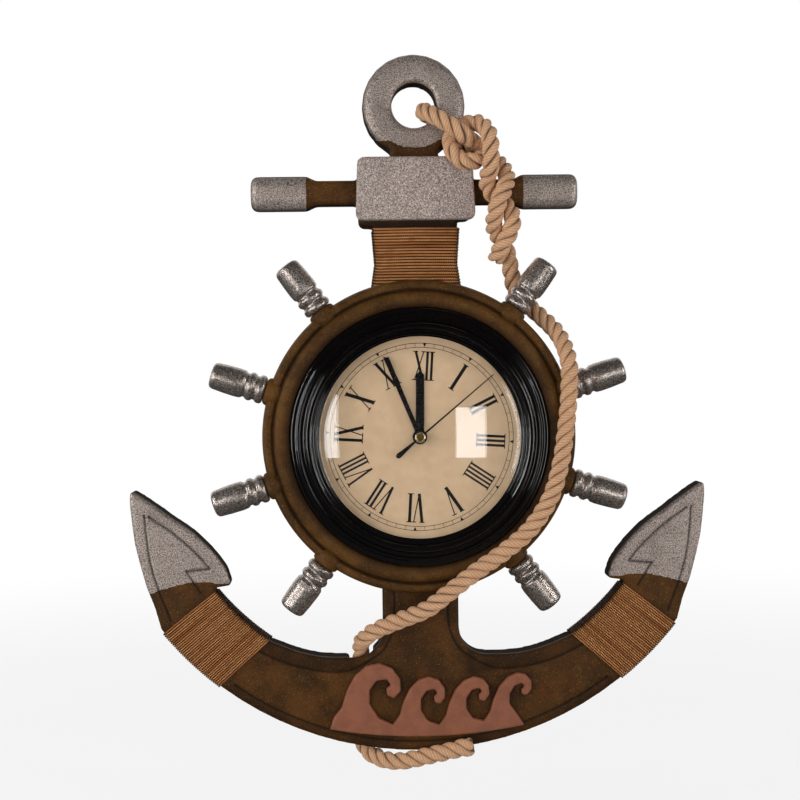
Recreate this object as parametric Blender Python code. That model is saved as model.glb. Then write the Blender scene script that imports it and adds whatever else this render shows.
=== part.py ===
"""Anchor-shaped wall clock with a ship's wheel rim, built piece by piece in Blender.

The origin is the hanging point on the board's flat back, on the stock's centre line.
World axes: +X right, +Z up, and the wall is the plane Y = 0 with the clock's face towards -Y.
Most pieces are drawn in the front frame: x right, y up, z out from the wall.
"""
import math

import bmesh
import bpy
import numpy as np
from mathutils import Matrix, Vector

# Clearances
GAP = 0.0003
OVERRUN = 0.004

# Board, cut from one sheet
BOARD_T = 0.018
BOARD_EDGE = 0.0008
ARC_DROP = 0.1502
ARC_R = 0.2120
CROWN_FILLET = 0.018
LOWER_SHANK_HALF = 0.0246
SHANK_HALF_ROOT = 0.0290
SHANK_HALF_WAIST = 0.0254
SHANK_HALF_TOP = 0.0271
HEAD_HALF = 0.0368
HEAD_TOP = 0.0213
HEAD_LOW_LEFT = 0.0226
HEAD_LOW_RIGHT = 0.0184
HEAD_CORNER = 0.004
NECK_HALF = 0.0148
NECK_FILLET = 0.0040
RING_UP = 0.0556
RING_R = 0.0333
RING_HOLE_R = 0.0144
RING_ROUND = 0.005
RING_HOLE_ROUND = 0.003
STOCK_HALF_LENGTH = 0.1058
STOCK_SHAFT_HEIGHT = 0.0158
STOCK_SHAFT_ROUND = 0.003
STOCK_HANDLE_LENGTH = 0.0361
STOCK_HANDLE_HEIGHT = 0.0224
STOCK_HANDLE_ROUND = 0.0065
STOCK_HANDLE_END = 0.0035
STOCK_HANDLE_EASE = 0.0012
STOCK_SHOULDER = 0.006
WINDING_REBATE = 0.0022

# Angles from straight down in degrees, with the radius as a share of ARC_R
ARM_INNER_SHARE = 0.8000
CROWN_INNER_SHARES = (
    (16.8, 0.7396), (21.9, 0.7627), (26, 0.7769), (30, 0.7877), (33, 0.7943), (35, ARM_INNER_SHARE),
    (40, ARM_INNER_SHARE), (46, ARM_INNER_SHARE), (52.3, ARM_INNER_SHARE),
)
BARB_CORNER_SHARES = (50.2, 0.7500)
FLUKE_INNER_SHARES = (
    (54, 0.7321), (58, 0.7330), (62, 0.7443), (66, 0.7642), (70, 0.7995), (73, 0.8288), (76, 0.8651),
)
FLUKE_TIP_SHARES = ((77.5, 0.8873), (77.8, 0.8943), (77.3, 0.9009))
FLUKE_OUTER_SHARES = (
    (75.5, 0.9085), (72, 0.9195), (68, 0.9345), (64, 0.9470), (60, 0.9625), (56, 0.9760),
)
CROWN_OUTER_END = 52.3

# Head plate
PLATE_T = 0.006
PLATE_TOP = 0.0219
PLATE_LOW = 0.0187
PLATE_HALF_TOP = 0.0371
PLATE_HALF_LOW = 0.0384
PLATE_CORNER = 0.0045
PLATE_EDGE = 0.0008

# Clock insert. The dial leads, and its case, lens and bezel follow by their widths.
DIAL_R = 0.0648
DIAL_T = 0.0006
DIAL_MARGIN = 0.0004
CASE_WALL_T = 0.0012
CASE_WALL_R = DIAL_R + DIAL_MARGIN + CASE_WALL_T
CASE_WALL_H = 0.0054
CASE_FLANGE = 0.0144
CASE_R = CASE_WALL_R + CASE_FLANGE
CASE_PLATE_T = 0.0016
CASE_SKIRT_H = 0.0080
CASE_SKIRT_T = 0.0015
CASE_HOLE_R = 0.0046
CASE_SCREW_R = 0.00125
CASE_SCREW_HEAD_R = 0.0023
CASE_SCREW_HEAD_T = 0.0013
CASE_SCREW_INSET = 0.0066
CASE_SCREW_CIRCLE_R = CASE_R - CASE_SCREW_INSET
CASE_SCREW_LENGTH = 0.0090
CASE_SCREW_COUNT = 4
CASE_SCREW_POCKET_R = 0.0032
BEZEL_OVERHANG = 0.0011
BEZEL_R = CASE_R + BEZEL_OVERHANG
BEZEL_BEAD_WIDTH = 0.0042
BEZEL_BEAD_R = BEZEL_R - BEZEL_BEAD_WIDTH
BEZEL_LIP_REACH = 0.0012
BEZEL_LIP_R = DIAL_R - BEZEL_LIP_REACH
BEZEL_INNER_WIDTH = 0.0048
BEZEL_INNER_R = BEZEL_LIP_R + BEZEL_INNER_WIDTH
BEZEL_CREST_WIDTH = 0.0016
BEZEL_CREST_R = BEZEL_INNER_R + BEZEL_CREST_WIDTH
BEZEL_COVE_WIDTH = 0.0022
BEZEL_COVE_R = BEZEL_CREST_R + BEZEL_COVE_WIDTH
BEZEL_OUTER_FRONT = 0.0392
BEZEL_STEP_FRONT = 0.0412
BEZEL_CREST_FRONT = 0.0448
BEZEL_LIP_T = 0.0010
BEZEL_ROUND = 0.0008
LENS_R = CASE_WALL_R
LENS_T = 0.0016
LENS_RISE = 0.0082

# Wheel, which stands round the clock insert
WHEEL_DROP = 0.1573
RIM_SEAT_MARGIN = 0.0004
RIM_REBATE_R = BEZEL_R + RIM_SEAT_MARGIN
RIM_LEDGE_WIDTH = 0.0108
RIM_BORE_R = RIM_REBATE_R - RIM_LEDGE_WIDTH
RIM_CREST_WIDTH = 0.0103
RIM_BAND_R = RIM_REBATE_R + RIM_CREST_WIDTH
RIM_GROOVE_WIDTH = 0.0014
RIM_GROOVE_R = RIM_BAND_R + RIM_GROOVE_WIDTH
RIM_BAND_WIDTH = 0.0060
RIM_R = RIM_GROOVE_R + RIM_BAND_WIDTH
RIM_RELIEF_WIDTH = 0.0074
RIM_RELIEF_R = RIM_R - RIM_RELIEF_WIDTH
RIM_BACK_RELIEF = 0.0024
RIM_LEDGE_OUT = 0.0315
RIM_EDGE_ROUND = 0.0016
RIM_INNER_FRONT = 0.0366
RIM_CREST_FRONT = 0.0380
RIM_GROOVE_FRONT = 0.0338
RIM_BAND_FRONT = 0.0352
DISC_INSET = 0.0006
DISC_R = RIM_RELIEF_R - DISC_INSET
DISC_BORE_STEP = 0.0095
DISC_BORE_R = RIM_BORE_R - DISC_BORE_STEP
SPOKE_ANGLES = (37.5, 72.5, 107.5, 142.5)
SPOKE_LENGTH = 0.0380
SPOKE_REACH = RIM_R + SPOKE_LENGTH
SPOKE_OUT = 0.0279
SPOKE_R = 0.0092
SPOKE_ROOT_R = 0.0078
SPOKE_END_R = 0.0087
SPOKE_END_ROUND = 0.0025
SPOKE_BEAD = 0.0052
SPOKE_GROOVE = 0.0013
SPOKE_GROOVE_DEPTH = 0.0014
SPOKE_TENON_R = 0.0047
SPOKE_TENON_LENGTH = 0.0085
SPOKE_BOSS_R = 0.0095
SPOKE_BOSS_REACH = 0.0024

# Quartz movement
MOVEMENT_SIZE = 0.056
MOVEMENT_WALL = 0.0014
MOVEMENT_FRONT_DEPTH = 0.0065
MOVEMENT_REAR_DEPTH = 0.0092
MOVEMENT_CORNER = 0.003
BUSH_R = 0.0039
BUSH_BORE_R = 0.0029
BUSH_LENGTH = 0.0032
BATTERY_R = 0.00715
BATTERY_LENGTH = 0.0492
BATTERY_TIP_R = 0.0027
BATTERY_TIP = 0.0010
BATTERY_EASE = 0.0008
BATTERY_DROP = 0.0175
BAY_MARGIN = 0.0008
HOUR_TUBE_R = 0.0026
HOUR_TUBE_BORE_R = 0.0021
MINUTE_TUBE_R = 0.0018
MINUTE_TUBE_BORE_R = 0.0011
SECOND_SHAFT_R = 0.0008
GEAR_T = 0.0010
CENTRE_GEAR_R = 0.0100
SECOND_GEAR_R = 0.0075
STEP_GEAR_R = 0.0060
PINION_R = 0.0013
ARBOR_R = 0.0006
STEM_R = 0.0012
MESH_GAP = 0.0005
CANNON_TO_MOTION = 3
MOTION_TO_HOUR = 4
ROTOR_R = 0.0034
ROTOR_H = 0.0022
KNOB_R = 0.0042
KNOB_H = 0.0030
KNOB_NOTCH = 0.0007
KNOB_NOTCHES = 12
COIL_R = 0.0036
COIL_LENGTH = 0.0180
COIL_WIRE_STEP = 0.0009
COIL_FLANGE_T = 0.0008
STATOR_T = 0.0008
STATOR_RIM = 0.0016
CIRCUIT_T = 0.0008

# Places of the gears about the dial's axis, in degrees
MOTION_ANGLE = 150
THIRD_ANGLE = 35
STEP_ANGLE = 100
ROTOR_ANGLE = 55

# Hands
HOUR_HAND_LENGTH = 0.0420
HOUR_HAND_HALF = 0.0026
HOUR_HUB_R = 0.0047
MINUTE_HAND_MARGIN = 0.0088
MINUTE_HAND_LENGTH = DIAL_R - MINUTE_HAND_MARGIN
MINUTE_HAND_HALF = 0.0017
MINUTE_HAND_ROOT = 0.0014
MINUTE_HAND_TIP = 0.0024
MINUTE_HUB_R = 0.0045
SECOND_HAND_MARGIN = 0.0038
SECOND_HAND_LENGTH = DIAL_R - SECOND_HAND_MARGIN
SECOND_HAND_HALF = 0.0006
SECOND_HAND_TIP_HALF = 0.0003
SECOND_TAIL = 0.0196
SECOND_TAIL_HALF = 0.0017
SECOND_HUB_R = 0.0042
HAND_T = 0.0005
HAND_STEP = 0.0010
CAP_R = 0.0034
CAP_BORE_R = 0.0025
CAP_RECESS = 0.0005
CAP_H = 0.0014
HOUR_HAND_TURN = 0.9
MINUTE_HAND_TURN = -22.3
SECOND_HAND_TURN = 50.2

# Raised wave ornament in the middle of the crown
ORNAMENT_T = 0.0045
ORNAMENT_EDGE = 0.0006
ORNAMENT_LEFT = -0.0600
ORNAMENT_RIGHT = 0.0660
ORNAMENT_MARGIN = 0.0102
ORNAMENT_BASE_DROP = ARC_DROP + ARC_R - ORNAMENT_MARGIN
ORNAMENT_BAND = 0.0055
ORNAMENT_SAG = 0.0060
WAVE_HEIGHTS = (0.0470, 0.0390, 0.0370, 0.0350)
WAVE_WIDTH_SHARES = (0.31, 0.24, 0.23, 0.22)

# Wound twine
TWINE_R = 0.00070
SHANK_PITCH = 0.0019
SHANK_WINDING_MARGIN = 0.0010
SHANK_WINDING_TOP = HEAD_LOW_LEFT + SHANK_WINDING_MARGIN
SHANK_WINDING_ROOM = WHEEL_DROP - RIM_RELIEF_R - SHANK_WINDING_TOP
SHANK_TURNS = math.floor(SHANK_WINDING_ROOM / SHANK_PITCH) - 1
ARM_TWINE_R = 0.00077
ARM_TURNS = 22
ARM_START_OUTER = 51.5
ARM_START_INNER = 51.4
ARM_END_OUTER = 37.9
ARM_END_INNER = 35.3
TWINE_CORNER = 0.0008

# Rope
ROPE_D = 0.0112
ROPE_CHANNEL_HALF = 0.0078
ROPE_CHANNEL_DEPTH = 0.0146
ROPE_MAX_STEP = 0.0260
ROPE_MAX_TURN = 29.0

# Hanger on the back
HANGER_LENGTH = 0.0450
HANGER_HEIGHT = 0.0095
HANGER_T = 0.0012
HANGER_UP = 0.0100
HANGER_REBATE = 0.0030
HANGER_MARGIN = 0.0018
HANGER_TOOTH = 0.0022
HANGER_TEETH = 9
HANGER_STANDOFF = 0.0012
NAIL_R = 0.0007
NAIL_HEAD_R = 0.0016
NAIL_HEAD_T = 0.0006
NAIL_LENGTH = 0.0080

# Sides used for round pieces
SIDES_RIM = 38
SIDES_BEZEL = 34
SIDES_CASE = 30
SIDES_RING = 24
SIDES_LENS = 28
SIDES_SPOKE = 8
SIDES_BOSS = 8
SIDES_GEAR = 12
SIDES_SMALL = 8
MITRE_LIMIT = 0.5

FRONT_TURN = math.radians(90)


def remove_everything():
    for old in list(bpy.data.objects):
        bpy.data.objects.remove(old, do_unlink=True)


def make_material(name, colour, roughness, metallic=0.0):
    material = bpy.data.materials.new(name)
    material.use_nodes = True
    shader = material.node_tree.nodes["Principled BSDF"]
    shader.inputs["Base Color"].default_value = (*colour, 1.0)
    shader.inputs["Roughness"].default_value = roughness
    shader.inputs["Metallic"].default_value = metallic
    material.diffuse_color = (*colour, 1.0)
    return material


def make_empty(name, parent=None, location=(0, 0, 0), rotation=(0, 0, 0)):
    empty = bpy.data.objects.new(name, None)
    bpy.context.scene.collection.objects.link(empty)
    empty.parent = parent
    empty.location = location
    empty.rotation_euler = rotation
    return empty


def add_mesh(name, bm, material, parent, location=(0, 0, 0), rotation=(0, 0, 0), smooth_below=35):
    """A mesh object made from bm, with its faces pointing out and its round parts smooth."""
    bmesh.ops.recalc_face_normals(bm, faces=bm.faces)
    mesh = bpy.data.meshes.new(name)
    bm.to_mesh(mesh)
    bm.free()
    mesh.shade_smooth()
    mesh.set_sharp_from_angle(angle=math.radians(smooth_below))
    mesh.materials.append(material)
    return add_object(name, mesh, parent, location, rotation)


def add_object(name, mesh, parent, location=(0, 0, 0), rotation=(0, 0, 0)):
    piece = bpy.data.objects.new(name, mesh)
    bpy.context.scene.collection.objects.link(piece)
    piece.parent = parent
    piece.location = location
    piece.rotation_euler = rotation
    return piece


def as_tool(piece):
    """Marks a cutter or joining shape, which isn't a piece of its own."""
    piece.hide_render = True
    piece.display_type = "WIRE"
    return piece


def combine(target, tool, operation):
    modifier = target.modifiers.new(f"{operation.lower()}_{tool.name}", "BOOLEAN")
    modifier.operation = operation
    modifier.solver = "EXACT"
    modifier.object = as_tool(tool)


def cut(target, tool):
    combine(target, tool, "DIFFERENCE")


def join(target, tool):
    combine(target, tool, "UNION")


def loft(rings, closed=False):
    """A solid through rings of equally many points, capped at both ends or closed on itself."""
    bm = bmesh.new()
    rows = [[bm.verts.new(point) for point in ring] for ring in rings]
    pairs = list(zip(rows[:-1], rows[1:]))
    if closed:
        pairs.append((rows[-1], rows[0]))
    for low, high in pairs:
        count = len(low)
        for i in range(count):
            bm.faces.new((low[i], low[(i + 1) % count], high[(i + 1) % count], high[i]))
    if not closed:
        bm.faces.new(rows[0])
        bm.faces.new(rows[-1])
    return bm


def inset(outline, distance):
    """A counter-clockwise outline drawn in by a distance, with mitred corners."""
    drawn = []
    count = len(outline)
    for i, (x, y) in enumerate(outline):
        before, after = Vector(outline[i - 1]), Vector(outline[(i + 1) % count])
        here = Vector((x, y))
        n1 = (here - before).normalized().orthogonal()
        n2 = (after - here).normalized().orthogonal()
        middle = (n1 + n2).normalized()
        drawn.append(tuple(here + middle * distance / max(middle.dot(n1), MITRE_LIMIT)))
    return drawn


def slab(outline, low, high, edge=0.0):
    """A counter-clockwise outline made solid from low to high, with its upper edge chamfered."""
    rings = [(outline, low), (outline, high - edge)]
    if edge:
        rings.append((inset(outline, edge), high))
    return loft([[(x, y, z) for x, y in ring] for ring, z in rings])


def turned(profile, sides, closed=False):
    """A profile of (radius, height) turned about the z axis. A radius of zero closes the end."""
    bm = bmesh.new()
    rows = []
    for radius, height in profile:
        if radius == 0:
            rows.append([bm.verts.new((0, 0, height))])
        else:
            rows.append([
                bm.verts.new((radius * math.cos(a), radius * math.sin(a), height))
                for a in (2 * math.pi * i / sides for i in range(sides))
            ])
    pairs = list(zip(rows[:-1], rows[1:]))
    if closed:
        pairs.append((rows[-1], rows[0]))
    for low, high in pairs:
        for i in range(sides):
            j = (i + 1) % sides
            corners = [low[i % len(low)], low[j % len(low)], high[j % len(high)], high[i % len(high)]]
            bm.faces.new(list(dict.fromkeys(corners)))
    return bm


def block(low, high):
    """A box between two corners."""
    bm = bmesh.new()
    size = [b - a for a, b in zip(low, high)]
    middle = [(a + b) / 2 for a, b in zip(low, high)]
    bmesh.ops.create_cube(bm, size=1, matrix=Matrix.Translation(middle) @ Matrix.Diagonal((*size, 1)))
    return bm


def repeated(shape, places):
    """One bmesh with a copy of a shape at each place, given as a matrix."""
    mesh = bpy.data.meshes.new("shape")
    shape.to_mesh(mesh)
    shape.free()
    bm = bmesh.new()
    for place in places:
        copy = mesh.copy()
        copy.transform(place)
        bm.from_mesh(copy)
        bpy.data.meshes.remove(copy)
    bpy.data.meshes.remove(mesh)
    return bm


def arc(centre, radius, start, end, steps):
    """Points on an arc, with angles in degrees from the +x axis."""
    return [
        (centre[0] + radius * math.cos(math.radians(a)), centre[1] + radius * math.sin(math.radians(a)))
        for a in (start + (end - start) * i / steps for i in range(steps + 1))
    ]


def rounded_box(half_x, low_y, high_y, corner, steps=3, half_x_top=None):
    """A rectangle with round corners, counter-clockwise, optionally narrower at its top."""
    top = half_x if half_x_top is None else half_x_top
    return (
        arc((half_x - corner, low_y + corner), corner, -90, 0, steps)
        + arc((top - corner, high_y - corner), corner, 0, 90, steps)
        + arc((corner - top, high_y - corner), corner, 90, 180, steps)
        + arc((corner - half_x, low_y + corner), corner, 180, 270, steps)
    )


def mirrored(points):
    return [(-x, y) for x, y in reversed(points)]


def spline_points(points, per_span):
    """Points on a smooth curve through the given ones (centripetal Catmull-Rom)."""
    route = [np.array(p, float) for p in points]
    route = [2 * route[0] - route[1]] + route + [2 * route[-1] - route[-2]]
    found = []
    for p0, p1, p2, p3 in zip(route, route[1:], route[2:], route[3:]):
        t1 = np.linalg.norm(p1 - p0) ** 0.5
        t2 = t1 + np.linalg.norm(p2 - p1) ** 0.5
        t3 = t2 + np.linalg.norm(p3 - p2) ** 0.5
        for i in range(per_span):
            t = t1 + (t2 - t1) * i / per_span
            a1 = p0 + (p1 - p0) * (t / t1)
            a2 = p1 + (p2 - p1) * ((t - t1) / (t2 - t1))
            a3 = p2 + (p3 - p2) * ((t - t2) / (t3 - t2))
            b1 = a1 + (a2 - a1) * (t / t2)
            b2 = a2 + (a3 - a2) * ((t - t1) / (t3 - t1))
            found.append(b1 + (b2 - b1) * ((t - t1) / (t2 - t1)))
    found.append(route[-2])
    return found


def crown_point(angle, radius):
    """A point at an angle from straight down about the crown's centre."""
    a = math.radians(angle)
    return radius * math.sin(a), -ARC_DROP - radius * math.cos(a)


def crown_curve(shares, per_span=2):
    points = [crown_point(angle, share * ARC_R) for angle, share in shares]
    return [tuple(p) for p in spline_points(points, per_span)]


# Board

def lower_half_outline():
    """The right half of crown, arm and fluke, from the lowest point up to the lower shank."""
    outer = [crown_point(CROWN_OUTER_END * i / 14, ARC_R) for i in range(14)]
    fluke_outer = crown_curve([(CROWN_OUTER_END, 1.0)] + list(reversed(FLUKE_OUTER_SHARES)), 1)
    tip = [crown_point(a, s * ARC_R) for a, s in reversed(FLUKE_TIP_SHARES)]
    barb_corner = crown_point(BARB_CORNER_SHARES[0], BARB_CORNER_SHARES[1] * ARC_R)
    fluke_inner = crown_curve(list(reversed(FLUKE_INNER_SHARES)), 2)
    inner = crown_curve(list(reversed(CROWN_INNER_SHARES)), 2)
    end = inner[-1]
    fillet = arc((LOWER_SHANK_HALF + CROWN_FILLET, end[1] + CROWN_FILLET), CROWN_FILLET, 270, 180, 5)
    return outer + fluke_outer + tip + fluke_inner + [barb_corner] + inner + fillet


def disc_arc():
    """The round middle of the board, from the lower shank to the upper one."""
    low = -90 + math.degrees(math.asin(LOWER_SHANK_HALF / DISC_R))
    high = 90 - math.degrees(math.asin(SHANK_HALF_ROOT / DISC_R))
    return arc((0, -WHEEL_DROP), DISC_R, low, high, 20)


def upper_shank_side():
    root = -WHEEL_DROP + math.sqrt(DISC_R ** 2 - SHANK_HALF_ROOT ** 2)
    top = -HEAD_LOW_LEFT
    points = [(SHANK_HALF_ROOT, root), (SHANK_HALF_WAIST, (root + top) / 2), (SHANK_HALF_TOP, top)]
    return [tuple(p) for p in spline_points(points, 3)][1:]


def head_side(low):
    """The board's head on one side, from its low corner up to the neck."""
    neck = arc((NECK_HALF + NECK_FILLET, HEAD_TOP + NECK_FILLET), NECK_FILLET, 270, 180, 3)
    return (
        arc((HEAD_HALF - HEAD_CORNER, -low + HEAD_CORNER), HEAD_CORNER, -90, 0, 3)
        + [(HEAD_HALF, HEAD_TOP)]
        + neck
    )


def neck_top():
    """The neck runs up into the ring, which is joined over it."""
    return [(NECK_HALF, RING_UP - RING_R / 2)]


def board_outline():
    lower = lower_half_outline()
    middle = disc_arc() + upper_shank_side()
    right = lower + middle + [(SHANK_HALF_TOP, -HEAD_LOW_RIGHT)] + head_side(HEAD_LOW_RIGHT) + neck_top()
    left = lower + middle + head_side(HEAD_LOW_LEFT) + neck_top()
    return right + mirrored(left)[:-1]


def ring_shape():
    """The anchor's ring, rounded on its front, turned about its own axis."""
    quarter = [math.radians(a) for a in (0, 45, 90)]
    outer = [
        (RING_R - RING_ROUND * (1 - math.cos(a)), BOARD_T - RING_ROUND * (1 - math.sin(a))) for a in quarter
    ]
    inner = [
        (RING_HOLE_R + RING_HOLE_ROUND * (1 - math.cos(a)), BOARD_T - RING_HOLE_ROUND * (1 - math.sin(a)))
        for a in reversed(quarter)
    ]
    return turned([(RING_R, 0)] + outer + inner + [(RING_HOLE_R, 0)], SIDES_RING, closed=True)


def neck_fillets():
    """Small webs that flare the neck into the ring."""
    flare = NECK_HALF + NECK_FILLET
    touch = RING_UP - math.sqrt(RING_R ** 2 - flare ** 2) + NECK_FILLET / 2
    low = HEAD_TOP + NECK_FILLET
    return [(-NECK_HALF, low), (NECK_HALF, low), (flare, touch), (-flare, touch)]


def round_section(half_height, depth, corner, steps=2):
    """A bar's section in y and z, standing on the board's back, with round edges."""
    return [
        (y, z + depth / 2) for y, z in rounded_box(half_height, -depth / 2, depth / 2, corner, steps)
    ]


def handle_section(inset):
    """The fat handle's section, drawn in on every side."""
    return [
        (y, z + inset) for y, z in round_section(
            STOCK_HANDLE_HEIGHT / 2 - inset, BOARD_T - inset - inset, STOCK_HANDLE_ROUND - inset / 2)
    ]


def stock_bar():
    """One arm of the stock: a shaft from the head, a shoulder and a fat handle."""
    shaft = round_section(STOCK_SHAFT_HEIGHT / 2, BOARD_T, STOCK_SHAFT_ROUND)
    start = STOCK_HALF_LENGTH - STOCK_HANDLE_LENGTH
    places = [
        (HEAD_HALF - OVERRUN, shaft), (start - STOCK_SHOULDER, shaft), (start, handle_section(0)),
        (STOCK_HALF_LENGTH - STOCK_HANDLE_END, handle_section(0)),
        (STOCK_HALF_LENGTH - STOCK_HANDLE_EASE, handle_section(STOCK_HANDLE_EASE)),
        (STOCK_HALF_LENGTH, handle_section(STOCK_HANDLE_END)),
    ]
    return loft([[(x, y, z) for y, z in section] for x, section in places])


def arm_angles(turn):
    """Where a turn of the arm's twine crosses its inner and outer edge."""
    share = turn / ARM_TURNS
    inner = ARM_START_INNER + (ARM_END_INNER - ARM_START_INNER) * share
    outer = ARM_START_OUTER + (ARM_END_OUTER - ARM_START_OUTER) * share
    return inner, outer


def arm_band_cutter(side):
    """A wedge that lowers the board's back where the arm is wound."""
    inner, outer = ARC_R * ARM_INNER_SHARE - OVERRUN, ARC_R + OVERRUN
    start_inner, start_outer = arm_angles(-1)
    end_inner, end_outer = arm_angles(ARM_TURNS + 1)
    corners = [
        crown_point(start_inner, inner), crown_point(end_inner, inner),
        crown_point(end_outer, outer), crown_point(start_outer, outer),
    ]
    return slab([(side * x, y) for x, y in corners], -OVERRUN, WINDING_REBATE)


def channel_cutter(start, end):
    """A straight channel in the board's back for the rope, from one point to another."""
    along = Vector((end[0] - start[0], end[1] - start[1])).normalized()
    across = Vector((-along.y, along.x)) * ROPE_CHANNEL_HALF
    corners = [
        (start[0] - across.x, start[1] - across.y), (end[0] - across.x, end[1] - across.y),
        (end[0] + across.x, end[1] + across.y), (start[0] + across.x, start[1] + across.y),
    ]
    return slab(corners, -OVERRUN, ROPE_CHANNEL_DEPTH)


def rope_point(index):
    x, _, z = ROPE_ROUTE[index]
    return x, z


def hole_tool(radius, depth, sides, back=0.0):
    """A round cutter that starts an overrun behind `back` and ends `depth` in front of it."""
    low, high = back - OVERRUN, back + depth
    return turned([(0, low), (radius, low), (radius, high), (0, high)], sides)


def make_board(front, material):
    board = add_mesh("anchor_board", slab(board_outline(), 0, BOARD_T, BOARD_EDGE), material, front)
    through = BOARD_T + OVERRUN
    cut(board, add_mesh("disc_bore", hole_tool(DISC_BORE_R, through, SIDES_CASE), material,
                        front, (0, -WHEEL_DROP, 0)))
    cut(board, add_mesh("ring_seat", hole_tool(RING_R - RING_ROUND, through, SIDES_RING), material,
                        front, (0, RING_UP, 0)))
    for side, name in ((1, "right"), (-1, "left")):
        cut(board, add_mesh(f"{name}_arm_rebate", arm_band_cutter(side), material, front))
    low = -SHANK_WINDING_TOP - SHANK_PITCH * (SHANK_TURNS + 1)
    cut(board, add_mesh(
        "shank_rebate",
        block((-HEAD_HALF, low, -OVERRUN), (HEAD_HALF, -SHANK_WINDING_TOP + SHANK_PITCH, WINDING_REBATE)),
        material, front))
    half, half_height = HANGER_LENGTH / 2 + HANGER_MARGIN, HANGER_HEIGHT / 2 + HANGER_MARGIN
    cut(board, add_mesh(
        "hanger_rebate",
        block((-half, HANGER_UP - half_height, -OVERRUN), (half, HANGER_UP + half_height, HANGER_REBATE)),
        material, front))
    nail_hole = hole_tool(NAIL_R + GAP, NAIL_LENGTH + HANGER_REBATE, SIDES_SMALL)
    cut(board, add_mesh("nail_holes", repeated(nail_hole, nail_matrices()), material, front))
    join(board, add_mesh("neck_web", slab(neck_fillets(), 0, BOARD_T - BOARD_EDGE), material, front))
    join(board, add_mesh("ring", ring_shape(), material, front, (0, RING_UP, 0)))
    join(board, add_mesh("stock_right", stock_bar(), material, front))
    join(board, add_mesh("stock_left", stock_bar(), material, front, rotation=(0, 0, math.pi)))
    top, bottom = rope_point(CROWN_CHANNEL_ENDS[0]), rope_point(CROWN_CHANNEL_ENDS[1])
    cut(board, add_mesh(
        "crown_channel",
        channel_cutter((top[0], top[1] + ROPE_CHANNEL_HALF), (bottom[0], bottom[1] - ROPE_CHANNEL_HALF)),
        material, front))
    cut(board, add_mesh(
        "ring_channel", channel_cutter(rope_point(RING_CHANNEL_ENDS[0]), rope_point(RING_CHANNEL_ENDS[1])),
        material, front))


# Rope, in metres from the hanging point
# The tail comes first, then the loop, the ring, the long fall round the rim, and the end below.
ROPE_ROUTE = (
    (0.0503, -0.0225, -0.0449), (0.0548, -0.0300, -0.0359), (0.0600, -0.0315, -0.0269),
    (0.0615, -0.0300, -0.0184), (0.0587, -0.0251, -0.0114), (0.0518, -0.0242, -0.0054),
    (0.0470, -0.0260, 0.0001), (0.0455, -0.0310, 0.0071), (0.0470, -0.0365, 0.0116),
    (0.0470, -0.0395, 0.0181), (0.0465, -0.0395, 0.0296), (0.0449, -0.0355, 0.0364),
    (0.0389, -0.0271, 0.0422), (0.0334, -0.0240, 0.0417), (0.0266, -0.0242, 0.0390),
    (0.0235, -0.0242, 0.0336), (0.0230, -0.0265, 0.0276), (0.0245, -0.0305, 0.0226),
    (0.0295, -0.0310, 0.0176), (0.0360, -0.0310, 0.0171), (0.0425, -0.0285, 0.0191),
    (0.0440, -0.0225, 0.0221), (0.0415, -0.0195, 0.0271), (0.0374, -0.0230, 0.0306),
    (0.0337, -0.0308, 0.0317), (0.0295, -0.0353, 0.0343), (0.0220, -0.0355, 0.0396),
    (0.0130, -0.0310, 0.0458), (0.0070, -0.0210, 0.0507), (0.0063, -0.0140, 0.0516),
    (0.0087, -0.0080, 0.0508), (0.0160, -0.0060, 0.0446), (0.0270, -0.0060, 0.0361),
    (0.0385, -0.0065, 0.0286), (0.0505, -0.0100, 0.0221), (0.0565, -0.0190, 0.0151),
    (0.0585, -0.0265, 0.0076), (0.0555, -0.0345, -0.0019), (0.0525, -0.0360, -0.0079),
    (0.0500, -0.0335, -0.0164), (0.0495, -0.0270, -0.0234), (0.0530, -0.0200, -0.0294),
    (0.0591, -0.0165, -0.0399), (0.0619, -0.0140, -0.0534), (0.0655, -0.0120, -0.0664),
    (0.0770, -0.0135, -0.0778), (0.0900, -0.0270, -0.0930), (0.0945, -0.0412, -0.1105),
    (0.0940, -0.0435, -0.1309), (0.0915, -0.0440, -0.1539), (0.0880, -0.0442, -0.1754),
    (0.0815, -0.0442, -0.1964), (0.0685, -0.0442, -0.2159), (0.0525, -0.0442, -0.2296),
    (0.0340, -0.0442, -0.2420), (0.0150, -0.0432, -0.2565), (0.0030, -0.0400, -0.2660),
    (-0.0155, -0.0300, -0.2752), (-0.0315, -0.0242, -0.2830), (-0.0365, -0.0195, -0.2878),
    (-0.0390, -0.0110, -0.2926), (-0.0392, -0.0065, -0.3004), (-0.0390, -0.0060, -0.3219),
    (-0.0395, -0.0060, -0.3449), (-0.0376, -0.0070, -0.3614), (-0.0310, -0.0105, -0.3668),
    (-0.0170, -0.0195, -0.3680), (0.0045, -0.0246, -0.3634), (0.0270, -0.0246, -0.3590),
    (0.0322, -0.0246, -0.3580),
)
RING_CHANNEL_ENDS = (30, 34)
CROWN_CHANNEL_ENDS = (61, 64)


def thinned(points):
    """Keeps the points that a bend needs, and no more."""
    kept, turn, run = [points[0]], 0.0, 0.0
    for before, here, after in zip(points, points[1:], points[2:]):
        turn += math.degrees(Vector(here - before).angle(Vector(after - here)))
        run += float(np.linalg.norm(here - before))
        if turn > ROPE_MAX_TURN or run > ROPE_MAX_STEP:
            kept.append(here)
            turn, run = 0.0, 0.0
    return kept + [points[-1]]


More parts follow.
